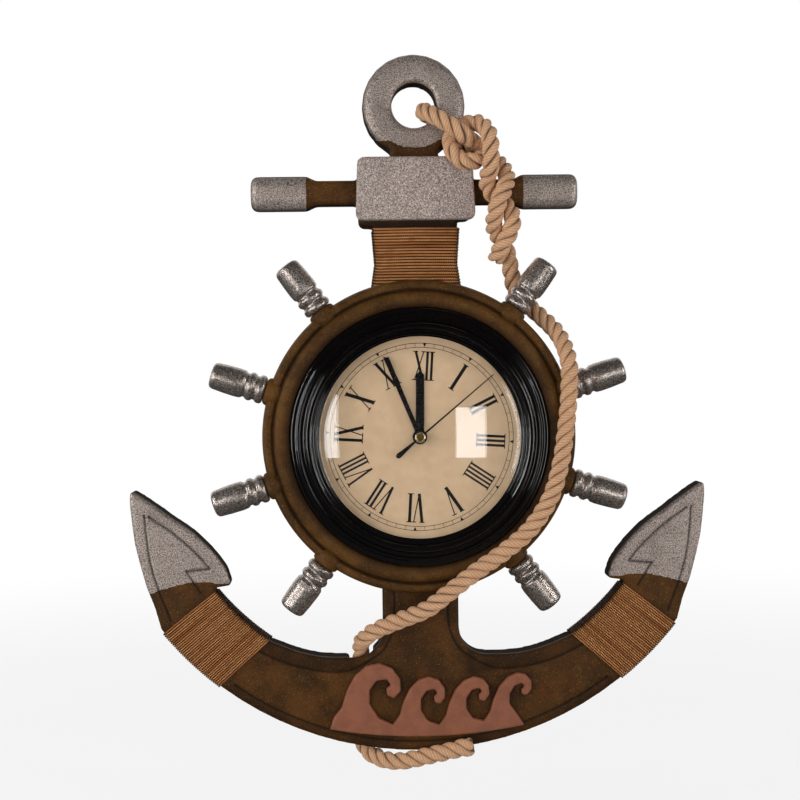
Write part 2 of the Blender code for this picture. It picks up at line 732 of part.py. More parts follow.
def make_tube(name, points, radius, material, resolution):
    """An unbroken round tube along points, with filled ends."""
    curve = bpy.data.curves.new(name, "CURVE")
    curve.dimensions = "3D"
    curve.bevel_depth = radius
    curve.bevel_resolution = resolution
    curve.use_fill_caps = True
    curve.materials.append(material)
    spline = curve.splines.new("POLY")
    spline.points.add(len(points) - 1)
    for place, point in zip(spline.points, points):
        place.co = (*point, 1.0)
    return add_object(name, curve, None)


def make_rope(material):
    points = thinned(spline_points(ROPE_ROUTE, 12))
    print(f"rope: {len(points)} points")
    return make_tube("rope", points, ROPE_D / 2, material, 2)


# Wound twine

def rounded_loop(corners, radius, low, high, lift):
    """One turn round a bar: two points at each of its four corners, in the front frame."""
    left, right = (Vector(corner) for corner in corners)
    left, right = left - lift, right + lift
    across = (right - left).normalized() * radius
    return [
        (*(left + across), high), (*(right - across), high), (*right, high - radius), (*right, low + radius),
        (*(right - across), low), (*(left + across), low), (*left, low + radius), (*left, high - radius),
    ]


def wound_route(sides_of_turn, turns, radius):
    """A continuous route of turns. sides_of_turn(t) gives the bar's two edges at turn t."""
    outset = radius + GAP
    low, high = WINDING_REBATE - outset, BOARD_T + outset
    route = []
    for turn in range(turns):
        for step in range(8):
            left, right = sides_of_turn(turn + step / 8)
            along = Vector((right[0] - left[0], right[1] - left[1])).normalized() * outset
            route.append(rounded_loop((left, right), TWINE_CORNER, low, high, along)[step])
    return route


def least_gap(route, radius):
    """The least distance between the surfaces of turns that aren't neighbours along the twine."""
    fine = []
    for a, b in zip(route, route[1:]):
        a, b = np.array(a), np.array(b)
        fine += [a + (b - a) * i / 6 for i in range(6)]
    fine = np.array(fine)
    apart = np.linalg.norm(fine[:, None] - fine[None], axis=2)
    steps = np.abs(np.arange(len(fine))[:, None] - np.arange(len(fine))[None])
    return float(apart[steps > 24].min()) - 2 * radius


def shank_sides(turn):
    """The upper shank's edges at a turn, straight across, following its waist."""
    y = -SHANK_WINDING_TOP - SHANK_PITCH * turn
    root = -WHEEL_DROP + math.sqrt(DISC_R ** 2 - SHANK_HALF_ROOT ** 2)
    top = -HEAD_LOW_LEFT
    waist = (root + top) / 2
    if y > waist:
        share = (y - waist) / (top - waist)
        half = SHANK_HALF_WAIST + (SHANK_HALF_TOP - SHANK_HALF_WAIST) * share
    else:
        share = (waist - y) / (waist - root)
        half = SHANK_HALF_WAIST + (SHANK_HALF_ROOT - SHANK_HALF_WAIST) * share
    return (-half, y), (half, y)


def arm_sides(turn):
    """The right arm's inner and outer edge at a turn."""
    inner, outer = arm_angles(turn)
    return crown_point(inner, ARC_R * ARM_INNER_SHARE), crown_point(outer, ARC_R)


def to_world(point):
    x, y, z = point
    return x, -z, y


def make_winding(name, sides_of_turn, turns, radius, material, side=1):
    route = wound_route(sides_of_turn, turns, radius)
    print(f"{name}: {turns} turns, least gap to itself {least_gap(route, radius) * 1000:.2f} mm")
    places = [to_world((side * x, y, z)) for x, y, z in route]
    return make_tube(name, places, radius, material, 1)


# Wheel

def rim_profile():
    """Radius and height of the rim, from its back bore round the outside and back to the bore."""
    back = BOARD_T + GAP
    edge_back = back + RIM_BACK_RELIEF
    edge = RIM_EDGE_ROUND
    return [
        (RIM_BORE_R, back), (RIM_RELIEF_R, back), (RIM_RELIEF_R, edge_back), (RIM_R - edge, edge_back),
        (RIM_R, edge_back + edge), (RIM_R, RIM_BAND_FRONT - 2 * edge),
        (RIM_R - edge, RIM_BAND_FRONT - edge / 2), ((RIM_R + RIM_GROOVE_R) / 2, RIM_BAND_FRONT),
        (RIM_GROOVE_R, RIM_GROOVE_FRONT),
        (RIM_BAND_R, RIM_GROOVE_FRONT), (RIM_BAND_R - edge / 2, RIM_INNER_FRONT),
        (RIM_BAND_R - 2 * edge, RIM_CREST_FRONT), ((RIM_BAND_R + RIM_REBATE_R) / 2, RIM_CREST_FRONT),
        (RIM_REBATE_R, RIM_INNER_FRONT), (RIM_REBATE_R, RIM_LEDGE_OUT), (RIM_BORE_R, RIM_LEDGE_OUT),
    ]


def spoke_turns():
    return [side * angle for angle in SPOKE_ANGLES for side in (1, -1)]


def spoke_matrix(angle, radius):
    """Turns a shape drawn along z to point out from the wheel's centre, and moves it out to a radius."""
    a = math.radians(angle)
    place = Matrix.Translation((radius * math.sin(a), radius * math.cos(a) - WHEEL_DROP, SPOKE_OUT))
    return place @ Matrix.Rotation(-a, 4, "Z") @ Matrix.Rotation(-FRONT_TURN, 4, "X")


def screw_matrices(level):
    return [Matrix.Translation((x, y, level)) for x, y in case_screw_places()]


def make_rim(front, material):
    shape = turned(rim_profile(), SIDES_RIM, closed=True)
    rim = add_mesh("wheel_rim", shape, material, front, (0, -WHEEL_DROP, 0))
    places = [spoke_matrix(angle, RIM_R) for angle in spoke_turns()]
    boss = turned([
        (0, -SPOKE_TENON_LENGTH), (SPOKE_BOSS_R - SPOKE_BOSS_REACH, -SPOKE_TENON_LENGTH),
        (SPOKE_BOSS_R, -SPOKE_TENON_LENGTH / 2), (SPOKE_BOSS_R - SPOKE_BOSS_REACH / 3, SPOKE_BOSS_REACH / 2),
        (SPOKE_ROOT_R, SPOKE_BOSS_REACH), (0, SPOKE_BOSS_REACH),
    ], SIDES_BOSS)
    join(rim, add_mesh("bosses", repeated(boss, places), material, front))
    hole_r = SPOKE_TENON_R + GAP
    hole = turned([
        (0, -SPOKE_TENON_LENGTH - GAP), (hole_r, -SPOKE_TENON_LENGTH - GAP),
        (hole_r, SPOKE_BOSS_REACH + OVERRUN), (0, SPOKE_BOSS_REACH + OVERRUN),
    ], SIDES_SPOKE)
    cut(rim, add_mesh("tenon_holes", repeated(hole, places), material, front))
    screw_r = CASE_SCREW_R + GAP
    depth = CASE_SCREW_LENGTH
    pilot = turned([(0, -depth), (screw_r, -depth), (screw_r, OVERRUN), (0, OVERRUN)], SIDES_SMALL)
    cut(rim, add_mesh("pilot_holes", repeated(pilot, screw_matrices(RIM_LEDGE_OUT)), material, front))


def spoke_profile():
    """A turned spoke from its tenon to its round end: two beads, then a tapering grip."""
    start = RIM_R + SPOKE_BOSS_REACH + GAP
    bead_1 = start + SPOKE_BEAD
    bead_2 = bead_1 + SPOKE_GROOVE + SPOKE_BEAD
    grip = bead_2 + SPOKE_GROOVE
    groove_r = SPOKE_R - SPOKE_GROOVE_DEPTH
    groove_end = bead_1 + SPOKE_GROOVE
    tenon = RIM_R - SPOKE_TENON_LENGTH
    return [
        (0, tenon), (SPOKE_TENON_R, tenon), (SPOKE_TENON_R, start),
        (SPOKE_ROOT_R, start), (SPOKE_R, start + SPOKE_BEAD / 3), (SPOKE_R, start + SPOKE_BEAD * 2 / 3),
        (groove_r, bead_1), (groove_r, groove_end), (SPOKE_R, groove_end + SPOKE_BEAD / 3),
        (SPOKE_R, bead_2 - SPOKE_BEAD / 3), (groove_r, bead_2), (groove_r, grip),
        (SPOKE_R, grip + SPOKE_GROOVE), (SPOKE_END_R, SPOKE_REACH - SPOKE_END_ROUND),
        (SPOKE_END_R - SPOKE_END_ROUND / 3, SPOKE_REACH - SPOKE_END_ROUND / 3),
        (SPOKE_END_R - SPOKE_END_ROUND, SPOKE_REACH), (0, SPOKE_REACH),
    ]


def make_spokes(front, material):
    pattern = None
    for index, angle in enumerate(spoke_turns()):
        name = f"spoke_{index + 1}"
        if pattern is None:
            spoke = pattern = add_mesh(name, turned(spoke_profile(), SIDES_SPOKE), material, front)
        else:
            spoke = add_object(name, pattern.data, front)
        spoke.matrix_local = spoke_matrix(angle, 0)


# Clock

def case_screw_places():
    angles = [math.radians(45 + 360 * i / CASE_SCREW_COUNT) for i in range(CASE_SCREW_COUNT)]
    return [
        (CASE_SCREW_CIRCLE_R * math.cos(a), CASE_SCREW_CIRCLE_R * math.sin(a) - WHEEL_DROP) for a in angles
    ]


def case_back():
    return RIM_LEDGE_OUT + GAP


def case_front():
    return case_back() + CASE_PLATE_T


def dial_back():
    return case_front() + GAP


def lens_back():
    return case_front() + CASE_WALL_H + GAP


def movement_half():
    return MOVEMENT_SIZE / 2


def make_case(front, material):
    """A flat plate with a round wall for the lens, a square skirt for the movement and screw holes."""
    inner = CASE_WALL_R - CASE_WALL_T
    floor, top = case_front(), case_front() + CASE_WALL_H
    plate = turned([
        (CASE_HOLE_R, case_back()), (CASE_R, case_back()), (CASE_R, floor), (CASE_WALL_R, floor),
        (CASE_WALL_R, top), (inner, top), (inner, floor), (CASE_HOLE_R, floor),
    ], SIDES_CASE, closed=True)
    case = add_mesh("clock_case", plate, material, front, (0, -WHEEL_DROP, 0))
    inside = movement_half() + GAP
    outside = inside + CASE_SKIRT_T
    low, high = case_back() - CASE_SKIRT_H, case_back() + CASE_PLATE_T / 2
    skirt = add_mesh("case_skirt", block((-outside, -outside, low), (outside, outside, high)), material,
                     front, (0, -WHEEL_DROP, 0))
    cut(skirt, add_mesh(
        "skirt_inside", block((-inside, -inside, low - OVERRUN), (inside, inside, high + OVERRUN)), material,
        front, (0, -WHEEL_DROP, 0)))
    join(case, skirt)
    screw_hole = hole_tool(CASE_SCREW_R + GAP, CASE_PLATE_T + OVERRUN, SIDES_SMALL)
    holes = repeated(screw_hole, screw_matrices(case_back()))
    cut(case, add_mesh("case_screw_holes", holes, material, front))


def make_case_screws(front, material):
    """Pan-head screws through the case into the rim's ledge, seen only with the bezel off."""
    head = case_front() + GAP
    tip = RIM_LEDGE_OUT - CASE_SCREW_LENGTH + 2 * GAP
    profile = [
        (0, tip), (CASE_SCREW_R / 3, tip), (CASE_SCREW_R, tip + 2 * CASE_SCREW_R), (CASE_SCREW_R, head),
        (CASE_SCREW_HEAD_R, head), (CASE_SCREW_HEAD_R, head + CASE_SCREW_HEAD_T / 2),
        (CASE_SCREW_HEAD_R / 2, head + CASE_SCREW_HEAD_T), (0, head + CASE_SCREW_HEAD_T),
    ]
    for index, place in enumerate(case_screw_places()):
        add_mesh(f"case_screw_{index + 1}", turned(profile, SIDES_SMALL), material, front, (*place, 0))


def make_bezel(front, material):
    """The glossy stepped ring that holds the lens on the case."""
    back = case_front() + GAP
    lip_back = lens_back() + LENS_T + GAP
    lip_front = lip_back + BEZEL_LIP_T
    wall = CASE_WALL_R + GAP
    r = BEZEL_ROUND
    profile = [
        (wall, back), (BEZEL_R, back), (BEZEL_R, BEZEL_OUTER_FRONT - r), (BEZEL_R - r, BEZEL_OUTER_FRONT),
        (BEZEL_BEAD_R + r, BEZEL_OUTER_FRONT), (BEZEL_BEAD_R, BEZEL_STEP_FRONT - r),
        (BEZEL_BEAD_R - r, BEZEL_STEP_FRONT), (BEZEL_COVE_R + r, BEZEL_STEP_FRONT + r),
        (BEZEL_COVE_R, BEZEL_CREST_FRONT - r), (BEZEL_CREST_R, BEZEL_CREST_FRONT),
        (BEZEL_INNER_R, BEZEL_CREST_FRONT - r), (BEZEL_LIP_R, lip_front), (BEZEL_LIP_R, lip_back),
        (LENS_R + GAP, lip_back), (LENS_R + GAP, lens_back()), (wall, lens_back() - GAP),
    ]
    shape = turned(profile, SIDES_BEZEL, closed=True)
    bezel = add_mesh("bezel", shape, material, front, (0, -WHEEL_DROP, 0))
    pocket = hole_tool(CASE_SCREW_POCKET_R, CASE_SCREW_HEAD_T + 3 * GAP, SIDES_SMALL)
    cut(bezel, add_mesh("bezel_screw_pockets", repeated(pocket, screw_matrices(back)), material, front))


def make_lens(front, material):
    """A domed lens of even thickness, with a flat edge that the bezel holds."""
    back = lens_back()
    flat = BEZEL_LIP_R - LENS_T / 2
    steps = 4
    shares = [i / steps for i in range(steps + 1)]
    outer = [(flat * s, back + LENS_T + LENS_RISE * (1 - s * s)) for s in reversed(shares)]
    inner = [((flat - LENS_T / 2) * s, back + LENS_RISE * (1 - s * s)) for s in shares]
    profile = inner + [(LENS_R, back), (LENS_R, back + LENS_T)] + outer
    return add_mesh("lens", turned(profile, SIDES_LENS), material, front, (0, -WHEEL_DROP, 0))


def make_dial(front, material):
    profile = [(CASE_HOLE_R, dial_back()), (DIAL_R, dial_back()), (DIAL_R, dial_back() + DIAL_T),
               (CASE_HOLE_R, dial_back() + DIAL_T)]
    return add_mesh("dial", turned(profile, SIDES_CASE, closed=True), material, front, (0, -WHEEL_DROP, 0))


# Movement. Heights go out from the wall; the movement's front face lies against the case.

def movement_front():
    return case_back() - GAP


def movement_split():
    return movement_front() - MOVEMENT_FRONT_DEPTH


def movement_back():
    return movement_split() - GAP - MOVEMENT_REAR_DEPTH


def make_front_cover(axis, material):
    """The movement's front half: a square tray with the bush that the hands' tubes turn in."""
    half = movement_half()
    outline = rounded_box(half, -half, half, MOVEMENT_CORNER, 2)
    shell = slab(outline, movement_split(), movement_front())
    cover = add_mesh("movement_front_cover", shell, material, axis)
    inner = rounded_box(half - MOVEMENT_WALL, MOVEMENT_WALL - half, half - MOVEMENT_WALL, MOVEMENT_CORNER, 2)
    cut(cover, add_mesh(
        "front_cover_inside", slab(inner, movement_split() - OVERRUN, movement_front() - MOVEMENT_WALL),
        material, axis))
    root, top = movement_front() - MOVEMENT_WALL / 2, movement_front() + BUSH_LENGTH
    bush = turned([(0, root), (BUSH_R, root), (BUSH_R, top), (0, top)], SIDES_GEAR)
    join(cover, add_mesh("bush", bush, material, axis))
    cut(cover, add_mesh(
        "bush_bore", turned([(0, movement_split() - OVERRUN), (BUSH_BORE_R, movement_split() - OVERRUN),
                             (BUSH_BORE_R, top + OVERRUN), (0, top + OVERRUN)], SIDES_GEAR), material, axis))
    return cover


def battery_bay():
    """Corners of the open bay for the battery and its contacts, across the lower half."""
    half = BATTERY_LENGTH / 2 + 2 * BAY_MARGIN
    radius = BATTERY_R + BAY_MARGIN
    return (-half, -BATTERY_DROP - radius), (half, -BATTERY_DROP + radius)


def make_rear_cover(axis, material):
    """The movement's rear half: the gear chamber above, and a battery bay that is open at the back."""
    half = movement_half()
    outline = rounded_box(half, -half, half, MOVEMENT_CORNER, 2)
    top = movement_split() - GAP
    cover = add_mesh("movement_rear_cover", slab(outline, movement_back(), top), material, axis)
    (bay_left, bay_low), (bay_right, bay_high) = battery_bay()
    chamber_low = bay_high + MOVEMENT_WALL
    inside = half - MOVEMENT_WALL
    floor, over = movement_back() + MOVEMENT_WALL, top + OVERRUN
    chamber = block((-inside, chamber_low, floor), (inside, inside, over))
    cut(cover, add_mesh("gear_chamber", chamber, material, axis))
    bay = block((bay_left, bay_low, movement_back() - OVERRUN), (bay_right, bay_high, over))
    cut(cover, add_mesh("bay_cut", bay, material, axis))
    knob_x, knob_y = motion_place()
    knob_hole = hole_tool(STEM_R + GAP, MOVEMENT_WALL + OVERRUN, SIDES_SMALL)
    cut(cover, add_mesh("knob_hole", knob_hole, material, axis, (knob_x, knob_y, movement_back())))
    return cover


def at_angle(degrees, apart, start=(0, 0)):
    a = math.radians(degrees)
    return start[0] + apart * math.cos(a), start[1] + apart * math.sin(a)


def motion_apart():
    """The setting stem passes beside the centre wheel."""
    return CENTRE_GEAR_R + STEM_R + 2 * GAP


def meshed_pair(apart, ratio):
    """Radii of a small and a large wheel that turn at a ratio, with their centres this far apart."""
    small = (apart - MESH_GAP) / (1 + ratio)
    return small, small * ratio


def third_apart():
    return CENTRE_GEAR_R + PINION_R + MESH_GAP


def motion_place():
    """Centre of the motion wheel and its setting knob, beside the hour wheel."""
    return at_angle(MOTION_ANGLE, motion_apart())


def third_place():
    return at_angle(THIRD_ANGLE, third_apart())


def step_place():
    return at_angle(STEP_ANGLE, SECOND_GEAR_R + PINION_R + MESH_GAP)


def rotor_place():
    return at_angle(ROTOR_ANGLE, STEP_GEAR_R + PINION_R + MESH_GAP, step_place())


def gear_levels():
    """Heights of the gear discs, stacked inside the movement from its front to its back."""
    hour = movement_front() - MOVEMENT_WALL - GAP - GEAR_T
    motion = hour - GAP - GEAR_T
    centre = motion - GAP - GEAR_T
    rotor = centre - 2 * GAP - ROTOR_H
    third = rotor - 2 * GAP - GEAR_T
    second = third - GAP - GEAR_T
    step = second - GAP - GEAR_T
    return hour, motion, centre, rotor, third, second, step


def floor_level():
    """Where the arbors' lower pivots stand, just over the rear cover's floor."""
    return movement_back() + MOVEMENT_WALL + GAP


def ceiling_level():
    return movement_front() - MOVEMENT_WALL - GAP


def hand_levels():
    hour = movement_front() + BUSH_LENGTH + 2 * GAP
    minute = hour + HAND_T + HAND_STEP
    second = minute + HAND_T + HAND_STEP
    return hour, minute, second


def arbor_profile(low, high, discs):
    """A thin arbor from low to high that carries discs, each given as (radius, low, high)."""
    profile = [(0, low), (ARBOR_R, low)]
    for radius, disc_low, disc_high in discs:
        profile += [(ARBOR_R, disc_low), (radius, disc_low), (radius, disc_high), (ARBOR_R, disc_high)]
    return profile + [(ARBOR_R, high), (0, high)]


def add_turned(name, profile, sides, material, parent, location=(0, 0, 0), closed=False):
    return add_mesh(name, turned(profile, sides, closed), material, parent, location)


def make_gears(axis, plastic, steel):
    hour, motion, centre, rotor, third, second, step = gear_levels()
    hour_hand, minute_hand, second_hand = hand_levels()
    low, high = floor_level(), ceiling_level()
    cannon_r, motion_r = meshed_pair(motion_apart(), CANNON_TO_MOTION)
    motion_pinion_r, hour_r = meshed_pair(motion_apart(), MOTION_TO_HOUR)
    add_turned("hour_wheel", [
        (HOUR_TUBE_BORE_R, hour), (hour_r, hour), (hour_r, hour + GEAR_T), (HOUR_TUBE_R, hour + GEAR_T),
        (HOUR_TUBE_R, hour_hand + HAND_T + GAP), (HOUR_TUBE_BORE_R, hour_hand + HAND_T + GAP)],
        SIDES_GEAR, plastic, axis, closed=True)
    add_turned("centre_wheel", [
        (MINUTE_TUBE_BORE_R, centre), (CENTRE_GEAR_R, centre), (CENTRE_GEAR_R, centre + GEAR_T),
        (cannon_r, centre + GEAR_T), (cannon_r, motion + GEAR_T), (MINUTE_TUBE_R, motion + GEAR_T),
        (MINUTE_TUBE_R, minute_hand + HAND_T + GAP), (MINUTE_TUBE_BORE_R, minute_hand + HAND_T + GAP)],
        SIDES_GEAR, plastic, axis, closed=True)
    second_top, third_top = second + GEAR_T, third + GEAR_T
    add_turned("seconds_wheel", [
        (0, low), (ARBOR_R, low), (ARBOR_R, second), (SECOND_GEAR_R, second), (SECOND_GEAR_R, second_top),
        (PINION_R, second_top), (PINION_R, third_top), (SECOND_SHAFT_R, third_top),
        (SECOND_SHAFT_R, second_hand), (0, second_hand)], SIDES_GEAR, steel, axis)
    third_gear_r = third_apart() - PINION_R - MESH_GAP
    add_turned("third_wheel", arbor_profile(low, high, [
        (third_gear_r, third, third + GEAR_T), (PINION_R, centre - GAP, centre + GEAR_T + GAP)]),
        SIDES_GEAR, plastic, axis, (*third_place(), 0))
    add_turned("step_wheel", arbor_profile(low, third + GEAR_T, [
        (STEP_GEAR_R, step, step + GEAR_T), (PINION_R, second, second + GEAR_T)]),
        SIDES_GEAR, plastic, axis, (*step_place(), 0))
    add_turned("rotor", arbor_profile(low, high, [
        (PINION_R, step, step + GEAR_T), (ROTOR_R, rotor, rotor + ROTOR_H)]),
        SIDES_GEAR, steel, axis, (*rotor_place(), 0))
    add_turned("motion_wheel", [
        (0, movement_back() - GAP), (STEM_R, movement_back() - GAP), (STEM_R, motion), (motion_r, motion),
        (motion_r, motion + GEAR_T), (motion_pinion_r, motion + GEAR_T), (motion_pinion_r, high), (0, high)],
        SIDES_GEAR, plastic, axis, (*motion_place(), 0))
    knob_points = []
    for i in range(2 * KNOB_NOTCHES):
        knob_points.append(at_angle(180 * i / KNOB_NOTCHES, KNOB_R if i % 2 else KNOB_R - KNOB_NOTCH))
    top = movement_back() - 2 * GAP
    add_mesh("set_knob", slab(knob_points, top - KNOB_H, top), plastic, axis, (*motion_place(), 0))


def make_motor(axis, copper, steel, circuit):
    """The stepping motor's coil and stator, and the circuit board that drives them."""
    rotor = gear_levels()[3]
    x, y = rotor_place()
    inside = movement_half() - MOVEMENT_WALL - GAP
    coil_y = inside - COIL_R
    end = COIL_LENGTH / 2
    wire_r = COIL_R - COIL_WIRE_STEP
    hole_r = ROTOR_R + MESH_GAP
    coil_x = x - hole_r - STATOR_RIM - end
    add_mesh("coil", turned([
        (0, -end), (COIL_R, -end), (COIL_R, COIL_FLANGE_T - end), (wire_r, COIL_FLANGE_T - end),
        (wire_r, end - COIL_FLANGE_T), (COIL_R, end - COIL_FLANGE_T), (COIL_R, end), (0, end)], SIDES_SMALL),
        copper, axis, (coil_x, coil_y, rotor + ROTOR_H / 2), (0, FRONT_TURN, 0))
    low = rotor + ROTOR_H / 2 - STATOR_T / 2
    reach = hole_r + STATOR_RIM
    stator = add_mesh("stator", block(
        (coil_x + end + GAP, y - reach, low), (x + reach, inside, low + STATOR_T)), steel, axis)
    cut(stator, add_turned("stator_hole", [
        (0, low - OVERRUN), (hole_r, low - OVERRUN), (hole_r, low + OVERRUN), (0, low + OVERRUN)],
        SIDES_GEAR, steel, axis, (x, y, 0)))
    bay_top = battery_bay()[1][1]
    right = motion_place()[0] - STEM_R - KNOB_NOTCH
    level = floor_level()
    add_mesh("circuit_board", block(
        (-inside, bay_top + MOVEMENT_WALL + GAP, level), (right, coil_y - COIL_R - GAP, level + CIRCUIT_T)),
        circuit, axis)


def make_battery(axis, body, metal):
    """One AA cell across the lower half, with its two sprung contact strips."""
    end = BATTERY_LENGTH / 2
    radius = BATTERY_R
    ease = BATTERY_EASE
    shoulder = end - BATTERY_TIP
    cell = turned([
        (0, -end), (radius - ease, -end), (radius, ease - end), (radius, shoulder - ease),
        (radius - ease, shoulder), (BATTERY_TIP_R, shoulder), (BATTERY_TIP_R, end), (0, end)], SIDES_GEAR)
    level = movement_back() + BATTERY_R - GAP
    add_mesh("battery", cell, body, axis, (0, -BATTERY_DROP, level), (0, FRONT_TURN, 0))
    (left, _), (right, _) = battery_bay()
    reach = BATTERY_R / 2
    for name, wall, inward in (("left", left, 1), ("right", right, -1)):
        near, far = sorted((wall + inward * GAP, -inward * (end + GAP)))
        strip = block(
            (near, -BATTERY_DROP - reach, level - reach), (far, -BATTERY_DROP + reach, level + reach))
        add_mesh(f"battery_contact_{name}", strip, metal, axis)


# Hands

def make_hand(name, outline, low, hole_r, turn, material, axis):
    shape = slab(outline, low, low + HAND_T)
    hand = add_mesh(name, shape, material, axis, (0, 0, 0), (0, 0, -math.radians(turn)))
    tool = hole_tool(hole_r, HAND_T + OVERRUN, SIDES_GEAR, low)
    cut(hand, add_mesh(f"{name}_hole", tool, material, axis))
    return hand


def hub_arc(half, hub_r, steps=12):
    lean = math.degrees(math.asin(half / hub_r))
    return arc((0, 0), hub_r, 90 + lean, 450 - lean, steps)


def make_hands(axis, black, brass):
    hour, minute, second = hand_levels()
    h, reach = HOUR_HAND_HALF, HOUR_HAND_LENGTH
    hour_outline = hub_arc(h, HOUR_HUB_R) + [(h, reach - h), (0, reach), (-h, reach - h)]
    make_hand("hour_hand", hour_outline, hour, HOUR_TUBE_R + GAP, HOUR_HAND_TURN, black, axis)
    m, reach = MINUTE_HAND_HALF, MINUTE_HAND_LENGTH
    minute_outline = hub_arc(MINUTE_HAND_ROOT, MINUTE_HUB_R) + [(m, reach - MINUTE_HAND_TIP), (-m, reach)]
    make_hand("minute_hand", minute_outline, minute, MINUTE_TUBE_R + GAP, MINUTE_HAND_TURN, black, axis)
    s, t = SECOND_HAND_HALF, SECOND_TAIL_HALF
    lean = math.degrees(math.asin(s / SECOND_HUB_R))
    second_outline = (
        [(SECOND_HAND_TIP_HALF, SECOND_HAND_LENGTH), (-SECOND_HAND_TIP_HALF, SECOND_HAND_LENGTH)]
        + arc((0, 0), SECOND_HUB_R, 90 + lean, 270 - lean, 5)
        + arc((0, t - SECOND_TAIL), t, 180, 360, 5)
        + arc((0, 0), SECOND_HUB_R, 270 + lean, 450 - lean, 5)
    )
    low = second + GAP
    add_mesh("second_hand", slab(second_outline, low, low + HAND_T), black, axis,
             (0, 0, 0), (0, 0, -math.radians(SECOND_HAND_TURN)))
    cap_low = low + HAND_T + GAP
    wall = (CAP_R - CAP_BORE_R) / 2
    add_mesh("hub_cap", turned([
        (0, cap_low), (CAP_R, cap_low), (CAP_R, cap_low + CAP_H - wall), (CAP_R - wall, cap_low + CAP_H),
        (CAP_BORE_R, cap_low + CAP_H - CAP_RECESS), (0, cap_low + CAP_H)], SIDES_SMALL), brass, axis)


# Ornament

# One cresting wave, as shares of its width and of its height above the band
WAVE_SHARES = (
    (0.06, 0.06), (0.20, 0.24), (0.28, 0.50), (0.42, 0.76), (0.62, 0.94), (0.84, 1.00), (1.04, 0.93),
    (1.17, 0.76), (1.18, 0.58), (1.07, 0.46), (0.95, 0.50), (0.94, 0.61), (1.02, 0.66), (0.95, 0.75),
    (0.78, 0.72), (0.66, 0.56), (0.66, 0.34), (0.80, 0.14),
)


def ornament_base(x):
    """Height of the band's lower edge, sagging with the crown."""
    middle = (ORNAMENT_LEFT + ORNAMENT_RIGHT) / 2
    half = (ORNAMENT_RIGHT - ORNAMENT_LEFT) / 2
    return ORNAMENT_SAG * ((x - middle) / half) ** 2 - ORNAMENT_BASE_DROP


def ornament_outline():
    """A band along the crown with a row of cresting waves on it, from left to right."""
    steps = 12
    span = ORNAMENT_RIGHT - ORNAMENT_LEFT
    lower = [ORNAMENT_LEFT + span * i / steps for i in range(steps + 1)]
    upper = []
    start = ORNAMENT_LEFT
    for share, height in zip(WAVE_WIDTH_SHARES, WAVE_HEIGHTS):
        width = span * share
        for across, up in WAVE_SHARES:
            x = start + across * width
            upper.append((x, ornament_base(x) + ORNAMENT_BAND + up * (height - ORNAMENT_BAND)))
        start += width
    return [(x, ornament_base(x)) for x in lower] + list(reversed(upper))


def make_ornament(front, material):
    low = BOARD_T + GAP
    shape = slab(ornament_outline(), low, low + ORNAMENT_T, ORNAMENT_EDGE)
    add_mesh("wave_ornament", shape, material, front)


# Back

def nail_place():
    return HANGER_LENGTH / 2 - HANGER_HEIGHT / 2


def nail_matrices():
    return [Matrix.Translation((side * nail_place(), HANGER_UP + HANGER_HEIGHT / 4, 0)) for side in (-1, 1)]


def make_hanger(front, material):
    """A sawtooth hanger: a thin plate with teeth along its lower edge and two nail holes."""
    half, low, high = HANGER_LENGTH / 2, HANGER_UP - HANGER_HEIGHT / 2, HANGER_UP + HANGER_HEIGHT / 2
    teeth_half = nail_place() - HANGER_HEIGHT / 3
    pitch = 2 * teeth_half / HANGER_TEETH
    teeth = []
    for i in range(HANGER_TEETH):
        x = -teeth_half + pitch * i
        teeth += [(x, low + HANGER_TOOTH), (x + pitch / 2, low)]
    outline = [(-half, low)] + teeth + [
        (teeth_half, low + HANGER_TOOTH), (half, low), (half, high), (-half, high)]
    bottom = HANGER_STANDOFF
    hanger = add_mesh("hanger", slab(outline, bottom, bottom + HANGER_T), material, front)
    holes = hole_tool(NAIL_R + GAP, HANGER_STANDOFF + HANGER_T + OVERRUN, SIDES_SMALL)
    cut(hanger, add_mesh("hanger_holes", repeated(holes, nail_matrices()), material, front))


def make_nails(front, material):
    head_front = HANGER_STANDOFF - GAP
    head_back = head_front - NAIL_HEAD_T
    tip = HANGER_REBATE + NAIL_LENGTH - GAP
    profile = [(0, head_back), (NAIL_HEAD_R, head_back), (NAIL_HEAD_R, head_front), (NAIL_R, head_front),
               (NAIL_R, tip - 3 * NAIL_R), (0, tip)]
    for name, side in (("left", -1), ("right", 1)):
        place = (side * nail_place(), HANGER_UP + HANGER_HEIGHT / 4, 0)
        add_mesh(f"hanger_nail_{name}", turned(profile, SIDES_SMALL), material, front, place)


def make_head_plate(front, material):
    outline = rounded_box(PLATE_HALF_LOW, -PLATE_LOW, PLATE_TOP, PLATE_CORNER, 4, PLATE_HALF_TOP)
    low = BOARD_T + GAP
    return add_mesh("head_plate", slab(outline, low, low + PLATE_T, PLATE_EDGE), material, front)


